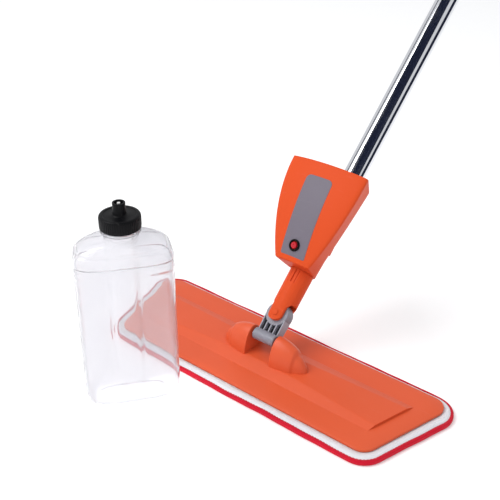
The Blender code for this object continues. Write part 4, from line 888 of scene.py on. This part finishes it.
def make_cap():
    """Knurled screw cap with a raised rim, a spout and a drain opening."""
    def point(row, angle):
        radius, height, knurl = row
        radius += knurl * KNURL_DEPTH * (abs(math.cos(CAP_KNURLS * angle / 2)) ** 0.6 - 1)
        return Vector((radius * math.cos(angle), radius * math.sin(angle), height))
    inner = BOTTLE_NECK_RADIUS + GAP
    ceiling = CAP_TOP - 0.0017
    lip = SPOUT_LIP
    rows = [(SPOUT_HOLE, ceiling, 0), (inner, ceiling, 0), (inner, CAP_BOTTOM, 0),
            (CAP_RADIUS - 0.0008, CAP_BOTTOM, 0),
            (CAP_RADIUS - 0.0002, CAP_BOTTOM + 0.0002, 0), (CAP_RADIUS - 0.0002, CAP_BOTTOM + 0.0010, 0),
            (CAP_RADIUS, CAP_BOTTOM + 0.0014, 1), (CAP_RADIUS, CAP_TOP - 0.0022, 1),
            (CAP_RADIUS - 0.0004, CAP_TOP - 0.0012, 0.6), (CAP_RADIUS - 0.0010, CAP_TOP - 0.0004, 0),
            (CAP_RADIUS - 0.0018, CAP_TOP, 0), (CAP_RADIUS - 0.0040, CAP_TOP, 0),
            (CAP_RADIUS - 0.0044, CAP_TOP - 0.0005, 0),
            (0.0078, CAP_TOP - 0.0005, 0), (0.0070, CAP_TOP - 0.0001, 0), (0.0064, CAP_TOP + 0.0012, 0),
            (0.0064, lip - 0.0002, 0), (0.0061, lip + 0.0006, 0), (0.0063, 0.2207, 0), (0.0060, 0.2212, 0),
            (0.0045, 0.2212, 0), (0.0042, 0.2208, 0), (0.0042, lip + 0.0018, 0), (SPOUT_HOLE, lip + 0.0018, 0),
            (SPOUT_HOLE, ceiling, 0)]
    piece(skin(rows, CAP_KNURLS * 6, point), "cap_shell", "black", "cap", BOTTLE,
          stands_for=["bottle_cap"], sharp=40)


# ---------------------------------------------------------------- CAD nodes that stay or are refined

REFINED = {
    "neck_fork": ("orange_shell", "orange_plastic", "pole", 0.0004),
    "front_panel": ("panel_grey", "panel_grey", "pole", 0.0002),
    "grip_left": ("grip", "black_plastic", "pole", 0.0005),
    "grip_right": ("grip", "black_plastic", "pole", 0.0005),
    "trigger": ("black", "black_plastic", "trigger_lever", 0.0004),
    "tube_collar": ("black", "black_plastic", "pole", 0.0003),
    "bottle_seat": ("white", "white_plastic", "pole", 0.0003),
    "hook_strip_front": ("hook", "black_hook", "head", 0.0002),
    "hook_strip_rear": ("hook", "black_hook", "head", 0.0002),
}
CARRIED = {
    "steel": ("head_pin", "fork_pin", "trigger_pin", "neck_screw", "tube_screw", "grip_screw_lower",
              "grip_screw_upper", "pull_rod", "pump_spring"),
    "white": ("pump_body", "inlet_hose", "spray_hose", "rod_cap", "valve_plunger"),
    "black": ("tube_coupler", "pump_piston"),
    "rubber": ("cap_gasket", "piston_seal"),
}


def dress_cad_nodes():
    for node, (look, slot, body, bevel) in REFINED.items():
        refined(node, look, body, bevel)
    for look, nodes in CARRIED.items():
        for node in nodes:
            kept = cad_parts[node]
            kept.data.materials.clear()
            kept.data.materials.append(LOOKS[look])


def make_valve_coil():
    """The spring under the spout's plunger, as a refined copy with a mesh of its own."""
    coil = refined("valve_spring", "steel", "cap")
    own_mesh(coil)


# ---------------------------------------------------------------- stage, light and camera

CAMERA_LENS = 64.8
CAMERA_SENSOR = 36
FLOOR_SIZE = 60
PAPER_COLOUR = (0.93, 0.93, 0.93)
PAPER_GLOW = 0.16
SKY_COLOUR = (0.97, 0.98, 1.0)
SKY_STRENGTH = 0.72
LIGHT_AIM = (0, 0, 0.1)
LIGHTS = {                      # side of the square lamp, power, place
    "key": (1.6, 36, (-0.9, -1.1, 1.9)),
    "fill": (1.2, 2, (1.6, -0.6, 1.1)),
}
CARD_COLOUR = (0.012, 0.016, 0.035)
CARD_REACH = 1.8
CARD_LOW = 0.1
CARD_HIGH = 1.5
CARD_EDGES = {                  # degrees round the pole at the card's lower end, then at its upper end
    "card_front": ((-16, 92), (-26, 60)),
    "card_right": ((94, 126), (98, 134)),
    "card_left": ((-62, -52), (-66, -56)),
}
CAMERA_PLACE = Vector((0.4977, -0.6196, 0.5922))
CAMERA_AIM = Vector((-0.17587, 0.18345, 0))


def stage_material(name, colour, glow=0.0):
    look = bpy.data.materials.new(name)
    look.use_nodes = True
    shader = look.node_tree.nodes["Principled BSDF"]
    shader.inputs["Base Color"].default_value = (*colour, 1)
    shader.inputs["Roughness"].default_value = 0.9
    shader.inputs["Specular IOR Level"].default_value = 0.1
    shader.inputs["Emission Color"].default_value = (*colour, 1)
    shader.inputs["Emission Strength"].default_value = glow
    return look


def stage_plane(name, size, place, aim, look):
    """A flat card or floor, facing a point; a card shows only in reflections."""
    bm = bmesh.new()
    bmesh.ops.create_grid(bm, x_segments=1, y_segments=1, size=0.5)
    turn = (Vector(aim) - Vector(place)).to_track_quat("Z", "Y")
    matrix = Matrix.LocRotScale(Vector(place), turn, Vector((*size, 1)))
    bmesh.ops.transform(bm, matrix=matrix, verts=bm.verts)
    mesh = bpy.data.meshes.new(name)
    bm.to_mesh(mesh)
    bm.free()
    mesh.materials.append(look)
    card = bpy.data.objects.new(name, mesh)
    bpy.context.scene.collection.objects.link(card)
    return card


def reflected_only(card):
    card.visible_camera = False
    card.visible_diffuse = False
    card.visible_transmission = False
    card.visible_shadow = False
    return card


def area_light(name, size, energy, place, aim):
    light = bpy.data.lights.new(name, "AREA")
    light.shape = "RECTANGLE"
    light.size, light.size_y = size
    light.energy = energy
    lamp = bpy.data.objects.new(name, light)
    bpy.context.scene.collection.objects.link(lamp)
    lamp.location = place
    lamp.rotation_euler = (Vector(aim) - Vector(place)).to_track_quat("-Z", "Y").to_euler()
    return lamp


def tube_card(name, lower, upper, look):
    """A card bent round the pole's line, shown only in reflections, and stopped at the floor.

    lower and upper give its two edges' angles from the front, growing to the right, at its lower and upper end.
    """
    bm = bmesh.new()
    bmesh.ops.create_grid(bm, x_segments=32, y_segments=12, size=1)
    for vertex in bm.verts:
        share = (vertex.co.y + 1) / 2
        first, last = (a + (b - a) * share for a, b in zip(lower, upper))
        angle = math.radians(first + (last - first) * (vertex.co.x + 1) / 2)
        outward = POLE.to_3x3() @ Vector((math.sin(angle), -math.cos(angle), 0))
        start = POLE @ Vector((0, 0, CARD_LOW + (CARD_HIGH - CARD_LOW) * share))
        reach = min(CARD_REACH, (start.z - 0.01) / -outward.z) if outward.z < -1e-4 else CARD_REACH
        vertex.co = start + outward * reach
    mesh = bpy.data.meshes.new(name)
    bm.to_mesh(mesh)
    bm.free()
    mesh.materials.append(look)
    card = bpy.data.objects.new(name, mesh)
    bpy.context.scene.collection.objects.link(card)
    return reflected_only(card)


def make_stage():
    paper = stage_material("floor_paper", PAPER_COLOUR, PAPER_GLOW)
    stage_plane("floor", (FLOOR_SIZE, FLOOR_SIZE), (0, 0, 0), (0, 0, 1), paper)
    dark = stage_material("dark_card", CARD_COLOUR)
    for name, (lower, upper) in CARD_EDGES.items():
        tube_card(name, lower, upper, dark)
    world = bpy.data.worlds.new("studio")
    bpy.context.scene.world = world
    world.use_nodes = True
    world.node_tree.nodes["Background"].inputs["Color"].default_value = (*SKY_COLOUR, 1)
    world.node_tree.nodes["Background"].inputs["Strength"].default_value = SKY_STRENGTH
    for name, (side, energy, place) in LIGHTS.items():
        area_light(name, (side, side), energy, place, LIGHT_AIM)


def make_camera():
    camera = bpy.data.cameras.new("camera")
    camera.lens = CAMERA_LENS
    camera.sensor_width = CAMERA_SENSOR
    camera.clip_start = 0.05
    camera.clip_end = 50
    seat = bpy.data.objects.new("camera", camera)
    bpy.context.scene.collection.objects.link(seat)
    seat.location = CAMERA_PLACE
    seat.rotation_euler = (CAMERA_AIM - CAMERA_PLACE).to_track_quat("-Z", "Y").to_euler()
    bpy.context.scene.camera = seat
    bpy.context.scene.view_settings.view_transform = "Standard"


make_camera()
make_stage()
make_plate()
make_pad()
make_binding()
make_yoke()
make_pin_covers()
make_housing()
make_nozzle()
make_tubes()
make_bottle()
make_cap()
dress_cad_nodes()
make_valve_coil()
